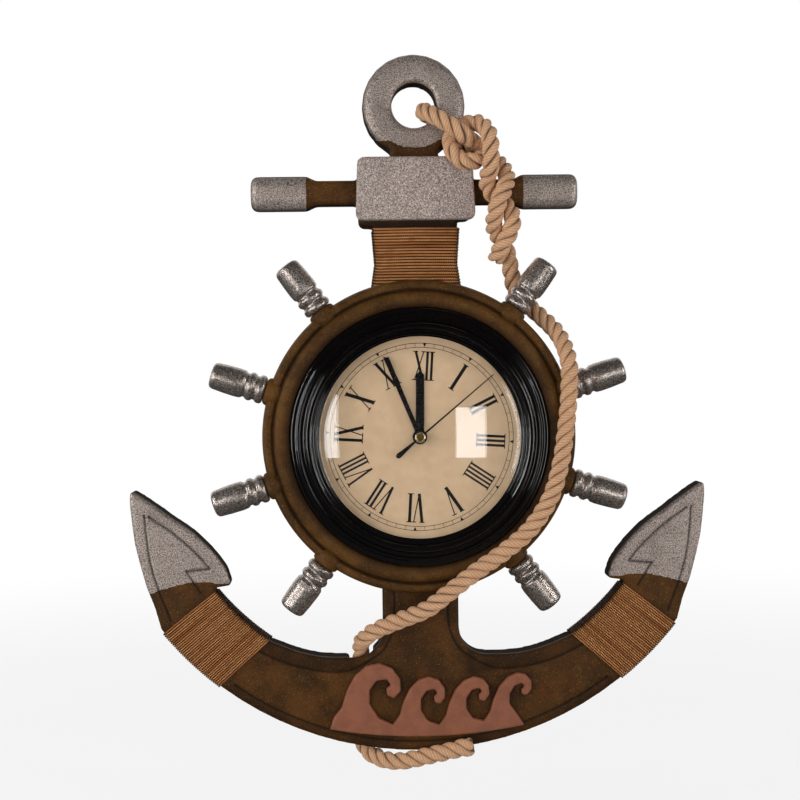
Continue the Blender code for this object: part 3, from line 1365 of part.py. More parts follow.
def main():
    remove_everything()
    wood = make_material("painted_board", (0.075, 0.035, 0.011), 0.75)
    silver = make_material("silver_paint", (0.26, 0.23, 0.21), 0.45, 0.6)
    terracotta = make_material("terracotta_paint", (0.26, 0.09, 0.045), 0.7)
    twine = make_material("jute_twine", (0.42, 0.24, 0.12), 0.9)
    cotton = make_material("cotton_rope", (0.66, 0.40, 0.23), 0.9)
    black_gloss = make_material("black_gloss", (0.004, 0.004, 0.005), 0.12)
    black_plastic = make_material("black_plastic", (0.010, 0.010, 0.011), 0.5)
    glass = make_material("clear_lens", (0.9, 0.9, 0.9), 0.03)
    paper = make_material("dial_print", (0.58, 0.42, 0.25), 0.6)
    hand_black = make_material("hand_black", (0.006, 0.005, 0.005), 0.4)
    brass = make_material("brass", (0.60, 0.40, 0.15), 0.3, 1.0)
    nylon = make_material("white_nylon", (0.7, 0.7, 0.68), 0.5)
    steel = make_material("zinc_steel", (0.5, 0.5, 0.5), 0.35, 1.0)
    copper = make_material("copper_wire", (0.55, 0.2, 0.08), 0.4, 1.0)
    circuit = make_material("circuit_green", (0.02, 0.12, 0.04), 0.5)
    cell = make_material("battery_sleeve", (0.05, 0.05, 0.06), 0.4)

    front = make_empty("front_frame", rotation=(FRONT_TURN, 0, 0))
    axis = make_empty("dial_axis", front, (0, -WHEEL_DROP, 0))

    make_board(front, wood)
    make_head_plate(front, silver)
    make_rim(front, wood)
    make_spokes(front, silver)
    make_ornament(front, terracotta)
    make_winding("shank_winding", shank_sides, SHANK_TURNS, TWINE_R, twine)
    make_winding("right_arm_winding", arm_sides, ARM_TURNS, ARM_TWINE_R, twine)
    make_winding("left_arm_winding", arm_sides, ARM_TURNS, ARM_TWINE_R, twine, -1)
    make_rope(cotton)
    make_case(front, black_plastic)
    make_case_screws(front, steel)
    make_bezel(front, black_gloss)
    make_lens(front, glass)
    make_dial(front, paper)
    make_front_cover(axis, black_plastic)
    make_rear_cover(axis, black_plastic)
    make_gears(axis, nylon, steel)
    make_motor(axis, copper, steel, circuit)
    make_battery(axis, cell, steel)
    make_hands(axis, hand_black, brass)
    make_hanger(front, steel)
    make_nails(front, steel)


main()
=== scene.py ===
"""The looks of an anchor-shaped wall clock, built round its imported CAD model.

World frame in metres: x to the right, y into the wall, z up, origin where the clock hangs.
"""
import math

import bmesh
import bpy
import numpy as np
from mathutils import Matrix, Vector


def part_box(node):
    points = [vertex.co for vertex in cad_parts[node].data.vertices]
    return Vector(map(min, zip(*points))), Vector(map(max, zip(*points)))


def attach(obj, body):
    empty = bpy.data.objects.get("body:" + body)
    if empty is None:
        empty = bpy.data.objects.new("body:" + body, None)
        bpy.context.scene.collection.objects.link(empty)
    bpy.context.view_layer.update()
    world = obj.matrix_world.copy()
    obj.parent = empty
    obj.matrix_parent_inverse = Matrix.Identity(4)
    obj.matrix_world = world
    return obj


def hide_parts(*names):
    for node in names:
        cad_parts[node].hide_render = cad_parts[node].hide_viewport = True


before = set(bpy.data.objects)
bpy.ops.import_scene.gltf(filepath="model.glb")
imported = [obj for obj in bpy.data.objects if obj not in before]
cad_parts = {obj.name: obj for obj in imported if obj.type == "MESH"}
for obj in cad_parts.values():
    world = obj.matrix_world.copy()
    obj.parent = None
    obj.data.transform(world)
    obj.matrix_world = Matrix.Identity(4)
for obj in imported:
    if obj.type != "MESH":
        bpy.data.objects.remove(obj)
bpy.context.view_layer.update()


def node_radius(node):
    """Half the width of a round node."""
    low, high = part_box(node)
    return (high[0] - low[0]) / 2


# Driving places and sizes, in metres
BEZEL_LOW, BEZEL_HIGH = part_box("bezel")
WHEEL_Z = (BEZEL_LOW[2] + BEZEL_HIGH[2]) / 2
BEZEL_R, DIAL_R, LENS_R = (round(node_radius(node), 5) for node in ("bezel", "dial", "lens"))
BOARD_T = 0.018
FRONT = -BOARD_T
CROWN_Z = -0.1502
CROWN_R = 0.2120
RIM_R = 0.1000


def placed(name, data):
    """A new object of the scene."""
    found = bpy.data.objects.new(name, data)
    bpy.context.scene.collection.objects.link(found)
    return found


# Camera: a little from the left, with a slight roll

CAMERA_PLACE = (-0.0451, -0.918, -0.1117)
CAMERA_YAW_PITCH_ROLL = (2.13, 1.42, -0.83)
CAMERA_LENS_MM, CAMERA_SENSOR_MM = 62.8, 36
CAMERA_NEAR = 0.01


def place_camera():
    yaw, pitch, roll = (math.radians(a) for a in CAMERA_YAW_PITCH_ROLL)
    ahead = Vector((math.sin(yaw) * math.cos(pitch), math.cos(yaw) * math.cos(pitch), -math.sin(pitch)))
    level = Vector((math.cos(yaw), -math.sin(yaw), 0))
    upright = level.cross(ahead)
    right = level * math.cos(roll) + upright * math.sin(roll)
    up = upright * math.cos(roll) - level * math.sin(roll)
    camera = placed("camera", bpy.data.cameras.new("camera"))
    camera.data.sensor_width = CAMERA_SENSOR_MM
    camera.data.lens = CAMERA_LENS_MM
    camera.data.clip_start = CAMERA_NEAR
    turn = Matrix((right, up, -ahead)).transposed()
    camera.matrix_world = Matrix.Translation(CAMERA_PLACE) @ turn.to_4x4()
    bpy.context.scene.camera = camera


place_camera()


# Mesh helpers

WELD = 1e-6
MM = 1000
# The most of an edge that a corner's round takes
ROUND_SHARE = 0.42


def add_piece(name, mesh, material, body="root", replaced=()):
    """A piece that rides on a body and may stand for CAD nodes."""
    piece = placed(name, mesh)
    mesh.materials.clear()
    mesh.materials.append(material)
    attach(piece, body)
    if replaced:
        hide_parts(*replaced)
    return piece


def build_mesh(name, vertices, faces, uvs=None, smooth=True):
    """A mesh from points, faces and perhaps one (u, v) for each corner."""
    mesh = bpy.data.meshes.new(name)
    mesh.from_pydata([tuple(v) for v in vertices], [], faces)
    if uvs is not None:
        layer = mesh.uv_layers.new(name="Along")
        layer.data.foreach_set("uv", np.array(uvs, np.float32).ravel())
    mesh.polygons.foreach_set("use_smooth", [smooth] * len(mesh.polygons))
    mesh.update()
    return mesh


def section(rows, radius=0.0, height=0.0):
    """A profile in metres, from rows in millimetres measured from radius and height."""
    return [(radius + out / MM, height + up / MM) for out, up in rows]


def softened(points, radius, steps=4, closed=False):
    """Rounds each corner of a profile of (radius, height) points."""
    found = []
    count = len(points)
    for i, here in enumerate(points):
        here = np.array(here, float)
        if not closed and i in (0, count - 1):
            found.append(tuple(here))
            continue
        before, after = (np.array(points[(i + k) % count], float) for k in (-1, 1))
        back, on = before - here, after - here
        reach = min(radius, ROUND_SHARE * np.linalg.norm(back), ROUND_SHARE * np.linalg.norm(on))
        start = here + back / np.linalg.norm(back) * reach
        end = here + on / np.linalg.norm(on) * reach
        for k in range(steps + 1):
            t = k / steps
            found.append(tuple((1 - t) ** 2 * start + 2 * t * (1 - t) * here + t * t * end))
    return found


def lathe(name, profile, sides, matrix=None, closed=False):
    """Turns (radius, height) points about +z. matrix puts the piece in the world frame."""
    matrix = matrix or front_matrix()
    rows = len(profile)
    angles = [2 * math.pi * k / sides for k in range(sides)]
    vertices = [
        matrix @ Vector((r * math.cos(a), r * math.sin(a), h)) for r, h in profile for a in angles]
    faces = []
    for i in range(rows if closed else rows - 1):
        j = (i + 1) % rows
        for k in range(sides):
            m = (k + 1) % sides
            faces.append((i * sides + k, i * sides + m, j * sides + m, j * sides + k))
    mesh = build_mesh(name, vertices, faces)
    clean(mesh)
    return mesh


def clean(mesh, weld=True):
    """Points all normals outwards, after joining the points that meet if weld is set."""
    bm = bmesh.new()
    bm.from_mesh(mesh)
    if weld:
        bmesh.ops.remove_doubles(bm, verts=bm.verts, dist=WELD)
        bmesh.ops.dissolve_degenerate(bm, edges=bm.edges, dist=WELD / 10)
    bmesh.ops.recalc_face_normals(bm, faces=bm.faces)
    bm.to_mesh(mesh)
    bm.free()


def front_matrix(turn=0.0):
    """From the wheel's frame, z out of the wall, to the world. A turn is clockwise."""
    return (Matrix.Translation((0, 0, WHEEL_Z)) @ Matrix.Rotation(math.radians(90), 4, "X")
            @ Matrix.Rotation(-math.radians(turn), 4, "Z"))


def evened(piece):
    """Keeps flat faces flat under smooth shading."""
    bpy.context.view_layer.update()
    piece.modifiers.new("even", "WEIGHTED_NORMAL").keep_sharp = True


def applied(piece):
    """Replaces a piece's mesh by the one that its modifiers give."""
    graph = bpy.context.evaluated_depsgraph_get()
    mesh = bpy.data.meshes.new_from_object(piece.evaluated_get(graph))
    piece.modifiers.clear()
    piece.data = mesh
    return mesh


def carve(piece, cutter, tries=4, aside=0.00003):
    """Cuts one tool out of a piece. A cut that loses the piece is made again a hair aside."""
    whole = piece.data
    for _ in range(tries):
        cut = piece.modifiers.new("cut", "BOOLEAN")
        cut.operation = "DIFFERENCE"
        cut.solver = "MANIFOLD"
        cut.object = cutter
        if len(applied(piece).vertices) > len(whole.vertices) / 2:
            return
        piece.data = whole
        cutter.location.x += aside
        bpy.context.view_layer.update()
    raise ValueError(f"the cut of {cutter.name} fails")


def recast(node, voxel, smoothing, cutters=()):
    """A finer copy of a CAD node with worn, eased edges, then cut by the cutters."""
    copy = placed(f"{node}_copy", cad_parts[node].data.copy())
    remesh = copy.modifiers.new("remesh", "REMESH")
    remesh.mode = "VOXEL"
    remesh.voxel_size = voxel
    remesh.use_smooth_shade = True
    smooth = copy.modifiers.new("smooth", "SMOOTH")
    smooth.factor = 0.5
    smooth.iterations = smoothing
    applied(copy)
    for cutter in cutters:
        carve(copy, cutter)
        bpy.data.objects.remove(cutter)
    mesh = copy.data
    bpy.data.objects.remove(copy)
    mesh.polygons.foreach_set("use_smooth", [True] * len(mesh.polygons))
    return mesh


def vertex_data(mesh, name="co"):
    """Every vertex's place, or its normal, as rows of x, y and z."""
    found = np.zeros(len(mesh.vertices) * 3)
    mesh.vertices.foreach_get(name, found)
    return found.reshape(-1, 3)


def paint(mesh, name, values):
    """Stores one number for each vertex, for a material to read."""
    layer = mesh.attributes.new(name, "FLOAT", "POINT")
    layer.data.foreach_set("value", np.clip(values, 0, 1).astype(np.float32))


def step_between(values, low, high):
    """Rises smoothly from 0 at low to 1 at high."""
    t = np.clip((values - low) / (high - low), 0, 1)
    return t * t * (3 - 2 * t)


def spline_points(points, per_span):
    """Points on a smooth curve through the given ones (centripetal Catmull-Rom)."""
    route = [np.array(p, float) for p in points]
    route = [2 * route[0] - route[1]] + route + [2 * route[-1] - route[-2]]
    found = []
    for p0, p1, p2, p3 in zip(route, route[1:], route[2:], route[3:]):
        t1 = np.linalg.norm(p1 - p0) ** 0.5
        t2 = t1 + np.linalg.norm(p2 - p1) ** 0.5
        t3 = t2 + np.linalg.norm(p3 - p2) ** 0.5
        for i in range(per_span):
            t = t1 + (t2 - t1) * i / per_span
            a1 = p0 + (p1 - p0) * (t / t1)
            a2 = p1 + (p2 - p1) * ((t - t1) / (t2 - t1))
            a3 = p2 + (p3 - p2) * ((t - t2) / (t3 - t2))
            b1 = a1 + (a2 - a1) * (t / t2)
            b2 = a2 + (a3 - a2) * ((t - t1) / (t3 - t1))
            found.append(b1 + (b2 - b1) * ((t - t1) / (t2 - t1)))
    found.append(route[-2])
    return np.array(found)


def resampled(points, step):
    """The same route with even steps."""
    points = np.array(points, float)
    lengths = np.concatenate([[0], np.cumsum(np.linalg.norm(np.diff(points, axis=0), axis=1))])
    count = max(2, int(round(lengths[-1] / step)) + 1)
    wanted = np.linspace(0, lengths[-1], count)
    return np.stack([np.interp(wanted, lengths, points[:, k]) for k in range(3)], axis=1), wanted


def carried_frames(route):
    """Tangent, normal and binormal at each point, with no twist along the route."""
    tangents = np.gradient(route, axis=0)
    tangents /= np.linalg.norm(tangents, axis=1)[:, None]
    first = np.cross(tangents[0], (0.0, 1.0, 0.0))
    first /= np.linalg.norm(first)
    carried = [first]
    for tangent in tangents[1:]:
        across = carried[-1] - tangent * np.dot(carried[-1], tangent)
        carried.append(across / np.linalg.norm(across))
    carried = np.array(carried)
    return tangents, carried, np.cross(tangents, carried)


def tube(route, radii, sides, lengths, v_start=0.0):
    """Vertices, faces and uvs of a tube along route, with closed ends."""
    _, normal, binormal = carried_frames(route)
    angles = np.linspace(0, 2 * math.pi, sides, endpoint=False)
    cosines, sines = np.cos(angles)[None, :, None], np.sin(angles)[None, :, None]
    ring = cosines * normal[:, None] + sines * binormal[:, None]
    vertices = (route[:, None] + ring * radii[:, None, None]).reshape(-1, 3)
    faces, uvs = [], []
    for i in range(len(route) - 1):
        for k in range(sides):
            m = (k + 1) % sides
            faces.append((i * sides + k, i * sides + m, (i + 1) * sides + m, (i + 1) * sides + k))
            low, high = k / sides + v_start, (k + 1) / sides + v_start
            uvs += [(lengths[i], low), (lengths[i], high), (lengths[i + 1], high), (lengths[i + 1], low)]
    last = (len(route) - 1) * sides
    for cap in (list(range(sides))[::-1], [last + k for k in range(sides)]):
        faces.append(tuple(cap))
        uvs += [(0.0, 0.0)] * sides
    return vertices, faces, uvs


def merged(parts):
    """Several (vertices, faces, uvs) as one."""
    vertices, faces, uvs, start = [], [], [], 0
    for some, some_faces, some_uvs in parts:
        vertices.append(some)
        faces += [tuple(i + start for i in face) for face in some_faces]
        uvs += some_uvs
        start += len(some)
    return np.concatenate(vertices), faces, uvs


# Materials

def rgb(red, green, blue):
    """A colour written in 0 to 255 as the renderer's linear colour."""
    def linear(c):
        c /= 255
        return c / 12.92 if c <= 0.04045 else ((c + 0.055) / 1.055) ** 2.4
    return linear(red), linear(green), linear(blue), 1.0


class Nodes:
    """Short calls for building a node tree."""

    def __init__(self, tree):
        self.tree = tree
        self.surface = next(n for n in tree.nodes if n.type.startswith("OUTPUT")).inputs["Surface"]

    def add(self, kind, **inputs):
        node = self.tree.nodes.new(f"ShaderNode{kind}")
        for key, value in inputs.items():
            self.put(node.inputs[key.replace("_", " ")], value)
        return node

    def put(self, socket, value):
        """Links or sets one input."""
        if isinstance(value, bpy.types.NodeSocket):
            self.tree.links.new(value, socket)
        else:
            socket.default_value = value

    def math(self, operation, first, second):
        node = self.add("Math")
        node.operation = operation
        self.put(node.inputs[0], first)
        self.put(node.inputs[1], second)
        return node.outputs[0]

    def blend_shaders(self, factor, first, second):
        """Sends a mix of two shaders to the tree's output."""
        node = self.add("MixShader")
        for socket, value in zip(node.inputs, (factor, first, second)):
            self.put(socket, value)
        self.put(self.surface, node.outputs[0])


class Finish(Nodes):
    """A material with one Principled shader, and short calls for its patterns."""

    def __init__(self, name, colour, roughness, metallic=0.0, **sockets):
        self.material = bpy.data.materials.new(name)
        self.material.use_nodes = True
        super().__init__(self.material.node_tree)
        self.shader = self.tree.nodes["Principled BSDF"]
        sockets.update(Base_Color=colour, Roughness=roughness, Metallic=metallic)
        for socket, value in sockets.items():
            self.set(socket.replace("_", " "), value)
        self.places = self.add("TexCoord").outputs["Object"]

    def set(self, socket, value):
        self.put(self.shader.inputs[socket], value)

    def noise(self, scale, detail, roughness=0.6, stretch=None, distortion=0.0):
        vector = self.places
        if stretch:
            vector = self.add("Mapping", Vector=vector, Scale=stretch).outputs[0]
        return self.add("TexNoise", Vector=vector, Scale=scale, Detail=detail, Roughness=roughness,
                        Distortion=distortion).outputs[0]

    def between(self, value, low, high, out_low=0.0, out_high=1.0):
        """Goes smoothly from out_low at low to out_high at high."""
        node = self.add("MapRange", Value=value)
        node.interpolation_type = "SMOOTHSTEP"
        for index, number in zip((1, 2, 3, 4), (low, high, out_low, out_high)):
            node.inputs[index].default_value = number
        return node.outputs[0]

    def mix(self, factor, first, second):
        """A mix of two colours."""
        node = self.add("Mix")
        node.data_type = "RGBA"
        node.clamp_factor = True
        for index, value in ((0, factor), (6, first), (7, second)):
            self.put(node.inputs[index], value)
        return node.outputs[2]

    def stain(self, mask, strength, under, over):
        """Lays a colour over another where a mask says so."""
        return self.mix(self.math("MULTIPLY", mask, strength), under, over)

    def painted(self, name):
        node = self.add("Attribute")
        node.attribute_name = name
        return node.outputs["Fac"]

    def along(self):
        node = self.add("UVMap")
        node.uv_map = "Along"
        return node.outputs[0]

    def bump(self, height, distance, strength=1.0):
        """Adds relief to the material's own."""
        node = self.add("Bump", Height=height, Distance=distance, Strength=strength)
        earlier = self.shader.inputs["Normal"]
        if earlier.is_linked:
            self.put(node.inputs["Normal"], earlier.links[0].from_socket)
        self.set("Normal", node.outputs[0])


def brown_patina(finish, body, dark, rust, olive):
    """Old brown paint: mottled, with rust and olive stains and fine pale grit."""
    broad = finish.between(finish.noise(38, 4), 0.35, 0.68)
    colour = finish.mix(broad, dark, body)
    colour = finish.mix(finish.between(finish.noise(95, 6, 0.7), 0.5, 0.75, 0, 0.55), colour, rust)
    streaks = finish.noise(61, 5, 0.65, stretch=(1, 1, 1.7))
    colour = finish.mix(finish.between(streaks, 0.52, 0.75, 0, 0.5), colour, olive)
    grit = finish.between(finish.noise(1100, 2, 0.6), 0.61, 0.72, 0, 0.5)
    colour = finish.mix(grit, colour, rgb(164, 122, 66))
    pits = finish.between(finish.noise(620, 4, 0.7), 0.32, 0.46, 0.5, 0)
    return finish.mix(pits, colour, rgb(28, 17, 7))


def silver_grain(finish, pale, middle, dark):
    """Hammered silver paint: bright specks and dark pores."""
    fine = finish.noise(1500, 3, 0.75)
    colour = finish.mix(finish.between(fine, 0.46, 0.58), middle, pale)
    pores = finish.between(finish.noise(950, 4, 0.8, distortion=0.3), 0.38, 0.50, 0.9, 0)
    colour = finish.mix(pores, colour, dark)
    stains = finish.between(finish.noise(70, 5), 0.5, 0.72, 0, 0.3)
    return finish.mix(stains, colour, rgb(112, 102, 94)), fine


def board_finish():
    """Brown, with silver, walls, grooves and margins where they are painted, and painted shade in the carved
    lines and under the head plate.
    """
    finish = Finish("old_board_paint", rgb(75, 50, 22), 0.6, Specular_IOR_Level=0.14)
    brown = brown_patina(finish, rgb(90, 56, 20), rgb(60, 38, 14), rgb(104, 58, 22), rgb(84, 64, 26))
    silver, grain = silver_grain(finish, rgb(228, 212, 202), rgb(150, 137, 128), rgb(64, 57, 52))
    wall = finish.painted("wall")
    silver = finish.stain(wall, 0.92, silver, rgb(34, 30, 27))
    brown = finish.stain(wall, 0.88, brown, rgb(24, 15, 7))
    tear = finish.math("MULTIPLY", finish.math("SUBTRACT", finish.noise(420, 4), 0.5), 0.5)
    ragged = finish.math("ADD", finish.painted("silver"), tear)
    mask = finish.between(ragged, 0.44, 0.56)
    brown = finish.stain(finish.painted("margin"), 0.45, brown, rgb(38, 22, 8))
    colour = finish.mix(mask, brown, silver)
    # Dark paint and painted shade in the carved lines, and a painted shadow under the head plate
    colour = finish.stain(finish.painted("groove_and_shade"), 0.8, colour, rgb(22, 14, 8))
    finish.set("Base Color", colour)
    open_side = finish.math("SUBTRACT", 1.0, wall)
    finish.set("Metallic", finish.math("MULTIPLY", finish.math("MULTIPLY", mask, 0.62), open_side))
    rough = finish.between(finish.noise(240, 4), 0.3, 0.7, 0.36, 0.52)
    finish.set("Roughness", finish.math("MAXIMUM", rough, finish.math("MULTIPLY", wall, 0.95)))
    finish.bump(grain, 0.00022, 0.8)
    finish.bump(finish.noise(150, 6, 0.7), 0.0004, 0.7)
    return finish.material


def rim_finish():
    """The rim's brown paint, dark in its turned groove, with painted shade round the bezel."""
    finish = Finish("old_rim_paint", rgb(100, 66, 26), 0.58, Specular_IOR_Level=0.14)
    colour = brown_patina(finish, rgb(100, 66, 26), rgb(70, 45, 17), rgb(106, 62, 24), rgb(92, 72, 30))
    # Dark in the turned groove, and painted shade round the bezel
    colour = finish.stain(finish.painted("groove_and_shade"), 0.8, colour, rgb(20, 12, 7))
    finish.set("Base Color", colour)
    finish.set("Roughness", finish.between(finish.noise(260, 4), 0.3, 0.7, 0.42, 0.62))
    finish.bump(finish.noise(700, 4, 0.75), 0.00025, 0.7)
    finish.bump(finish.noise(140, 6, 0.7), 0.0004, 0.6)
    return finish.material


def silver_finish(name, pale, middle, dark, metallic, low, high, depth):
    """Silver paint with a roughness from low to high and grain of the given depth."""
    finish = Finish(name, middle, 0.45, metallic)
    colour, fine = silver_grain(finish, pale, middle, dark)
    finish.set("Base Color", colour)
    finish.set("Roughness", finish.between(fine, 0.3, 0.7, low, high))
    finish.bump(fine, depth, 0.9)
    return finish.material


def strand_finish(name, pale, deep, hollow_shade, turns, lines, depth, sheen):
    """Twisted yarn: fine slanting fibres along a strand, their pale crests partly a painted highlight, with
    painted shade in the hollows.
    """
    finish = Finish(name, pale, 0.85, Sheen_Weight=sheen, Sheen_Roughness=0.6,
                    Specular_IOR_Level=0.2)
    parts = finish.add("SeparateXYZ", Vector=finish.along())
    phase = finish.math("ADD", finish.math("MULTIPLY", parts.outputs[0], turns), parts.outputs[1])
    waver = finish.math("MULTIPLY", finish.math("SUBTRACT", finish.noise(500, 4), 0.5), 0.55)
    phase = finish.math("ADD", phase, finish.math("MULTIPLY", waver, 1 / lines))
    wave = finish.math("SINE", finish.math("MULTIPLY", phase, 2 * math.pi * lines), 0.0)
    ridge = finish.between(wave, -1, 1)
    # Pale fibre crests and deep troughs: fibre colour, partly a painted highlight and shade
    colour = finish.mix(ridge, deep, pale)
    blotch = finish.between(finish.noise(160, 5, 0.65), 0.35, 0.72, 0, 0.5)
    colour = finish.mix(finish.math("MAXIMUM", blotch, finish.painted("shade")), colour, deep)
    # Painted shade in the hollows between strands and between turns
    colour = finish.stain(finish.painted("hollow_shade"), 0.92, colour, hollow_shade)
    finish.set("Base Color", colour)
    fluff = finish.math("MULTIPLY", finish.noise(2600, 3, 0.8), 0.9)
    finish.bump(finish.math("ADD", ridge, fluff), depth, 0.9)
    return finish.material


def plain_finish(name, colour, roughness, metallic=0.0, speck=None, scale=900, bump=0.00008, **sockets):
    """A moulded or plated surface with a faint grain."""
    finish = Finish(name, colour, roughness, metallic, **sockets)
    tone = finish.between(finish.noise(120, 5), 0.3, 0.7)
    other = speck or tuple(c * 0.72 for c in colour[:3]) + (1.0,)
    finish.set("Base Color", finish.stain(tone, 0.6, colour, other))
    finish.set("Roughness", finish.between(finish.noise(scale, 4), 0.3, 0.7, roughness * 0.85,
                                           min(1.0, roughness * 1.2)))
    finish.bump(finish.noise(scale, 4, 0.7), bump, 0.7)
    return finish.material


def glass_finish():
    """Clear glass that lamps shine through."""
    finish = Finish("clear_glass", (1, 1, 1, 1), 0.0, Transmission_Weight=1.0, IOR=1.45)
    finish.blend_shaders(finish.add("LightPath").outputs["Is Shadow Ray"], finish.shader.outputs[0],
                         finish.add("BsdfTransparent").outputs[0])
    return finish.material


def cap_finish():
    """A brass tube end with a dull, dark middle."""
    finish = Finish("cap_brass", rgb(206, 190, 160), 0.25, 1.0)
    core = finish.painted("core")
    worn = finish.mix(finish.between(finish.noise(900, 4), 0.4, 0.6), rgb(58, 46, 20), rgb(110, 88, 36))
    finish.set("Base Color", finish.mix(core, rgb(214, 200, 172), worn))
    finish.set("Roughness", finish.between(core, 0, 1, 0.22, 0.5))
    finish.bump(finish.noise(1400, 4), 0.00006, 0.7)
    return finish.material


BOARD_PAINT = board_finish()
RIM_PAINT = rim_finish()
PLATE_PAINT = silver_finish("plate_silver", rgb(234, 216, 206), rgb(150, 136, 128), rgb(66, 58, 54),
                            0.3, 0.42, 0.6, 0.0003)
SPOKE_PAINT = silver_finish("spoke_silver", rgb(236, 224, 214), rgb(150, 138, 130), rgb(66, 59, 55),
                            0.85, 0.24, 0.40, 0.0001)
ROPE_YARN = strand_finish("cotton_rope", rgb(228, 184, 144), rgb(200, 152, 114), rgb(84, 46, 26),
                          -95, 7, 0.00018, 0.10)
TWINE_YARN = strand_finish("jute_twine", rgb(240, 174, 112), rgb(142, 82, 38), rgb(16, 7, 3),
                           -420, 2, 0.00018, 0.0)
TERRACOTTA = plain_finish("terracotta_paint", rgb(150, 90, 62), 0.62, speck=rgb(120, 68, 44),
                          scale=1100, bump=0.00025)
GLOSS_BLACK = plain_finish("gloss_black", rgb(7, 5, 6), 0.06, scale=90, bump=0.000001, Coat_Weight=0.6,
                           Coat_Roughness=0.04)
HAND_BLACK = plain_finish("hand_enamel", rgb(8, 6, 6), 0.25, Specular_IOR_Level=0.3)
INK = plain_finish("printed_ink", rgb(12, 7, 5), 0.6, Specular_IOR_Level=0.15)
CARD = plain_finish("dial_card", rgb(192, 165, 132), 0.6, speck=rgb(180, 152, 120), scale=1500,
                    bump=0.00003, Specular_IOR_Level=0.25)
GLASS = glass_finish()
BRASS = cap_finish()
BLACK_PLASTIC = plain_finish("moulded_black", rgb(24, 24, 25), 0.48, scale=1600, bump=0.00006)
STEEL = plain_finish("plated_steel", rgb(176, 178, 182), 0.3, 1.0)
ZINC = plain_finish("zinc_strip", rgb(168, 166, 158), 0.42, 0.9)
IVORY_PLASTIC = plain_finish("ivory_gear", rgb(226, 220, 202), 0.4)
COPPER = plain_finish("copper_wire", rgb(176, 98, 58), 0.34, 0.9)
CIRCUIT = plain_finish("circuit_green", rgb(32, 84, 52), 0.4)
CELL = plain_finish("cell_jacket", rgb(58, 62, 70), 0.3, Coat_Weight=0.5)

NODE_FINISHES = (
    (HAND_BLACK, "hour_hand minute_hand second_hand"),
    (BLACK_PLASTIC, "clock_case movement_front_cover movement_rear_cover"),
    (IVORY_PLASTIC, "set_knob hour_wheel centre_wheel motion_wheel seconds_wheel third_wheel step_wheel"
                    " rotor"),
    (STEEL, "stator battery_contact_left battery_contact_right hanger_nail_left hanger_nail_right"
            " case_screw_1 case_screw_2 case_screw_3 case_screw_4"),
    (COPPER, "coil"), (CIRCUIT, "circuit_board"), (CELL, "battery"), (ZINC, "hanger"),
)


def dress_nodes():
    """Gives the CAD nodes that stay visible their materials."""
    for material, names in NODE_FINISHES:
        for name in names.split():
            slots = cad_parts[name].data.materials
            slots.clear()
            slots.append(material)


dress_nodes()


# Rope: three strands laid right-handed along the route of the CAD solid

ROPE_D = 0.0112
ROPE_LAY = 0.0245
ROPE_STEP = 0.0011
STRAND_R = 0.245 * ROPE_D
STRAND_ARM = 0.262 * ROPE_D
STRAND_SIDES = 14
# How far the strands open towards the cut end, and over what length
END_OPEN_SHARE, END_OPEN_LENGTH = 0.22, 1.2 * ROPE_D
# The swelling of a strand along its length
SWELL_SHARE, SWELL_PER_METRE = 0.05, 310
# The distances from the rope's middle between which the painted shade of the hollows fades
HOLLOW_R, CREST_R = 0.32 * ROPE_D, 0.45 * ROPE_D
# Its points in tenths of a millimetre
ROPE_POINTS = (
    (503, -225, -449), (548, -300, -359), (600, -315, -269), (615, -300, -184), (587, -251, -114),
    (518, -242, -54), (470, -260, 1), (455, -310, 71), (470, -365, 116), (470, -395, 181),
    (465, -395, 296), (449, -355, 364), (389, -271, 422), (334, -240, 417), (266, -242, 390),
    (235, -242, 336), (230, -265, 276), (245, -305, 226), (295, -310, 176), (360, -310, 171),
    (425, -285, 191), (440, -225, 221), (415, -195, 271), (374, -230, 306), (337, -308, 317),
    (295, -353, 343), (220, -355, 396), (130, -310, 458), (70, -210, 507), (63, -140, 516),
    (87, -80, 508), (160, -60, 446), (270, -60, 361), (385, -65, 286), (505, -100, 221),
    (565, -190, 151), (585, -265, 76), (555, -345, -19), (525, -360, -79), (500, -335, -164),
    (495, -270, -234), (530, -200, -294), (591, -165, -399), (619, -140, -534), (655, -120, -664),
    (770, -135, -778), (900, -270, -930), (945, -412, -1105), (940, -435, -1309), (915, -440, -1539),
    (880, -442, -1754), (815, -442, -1964), (685, -442, -2159), (525, -442, -2296), (340, -442, -2420),
    (150, -432, -2565), (30, -400, -2660), (-155, -300, -2752), (-315, -242, -2830),
    (-365, -195, -2878), (-390, -110, -2926), (-392, -65, -3004), (-390, -60, -3219),
    (-395, -60, -3449), (-376, -70, -3614), (-310, -105, -3668), (-170, -195, -3680), (45, -246, -3634),
    (270, -246, -3590), (322, -246, -3580),
)
ROPE_ROUTE = [tuple(c / (10 * MM) for c in point) for point in ROPE_POINTS]


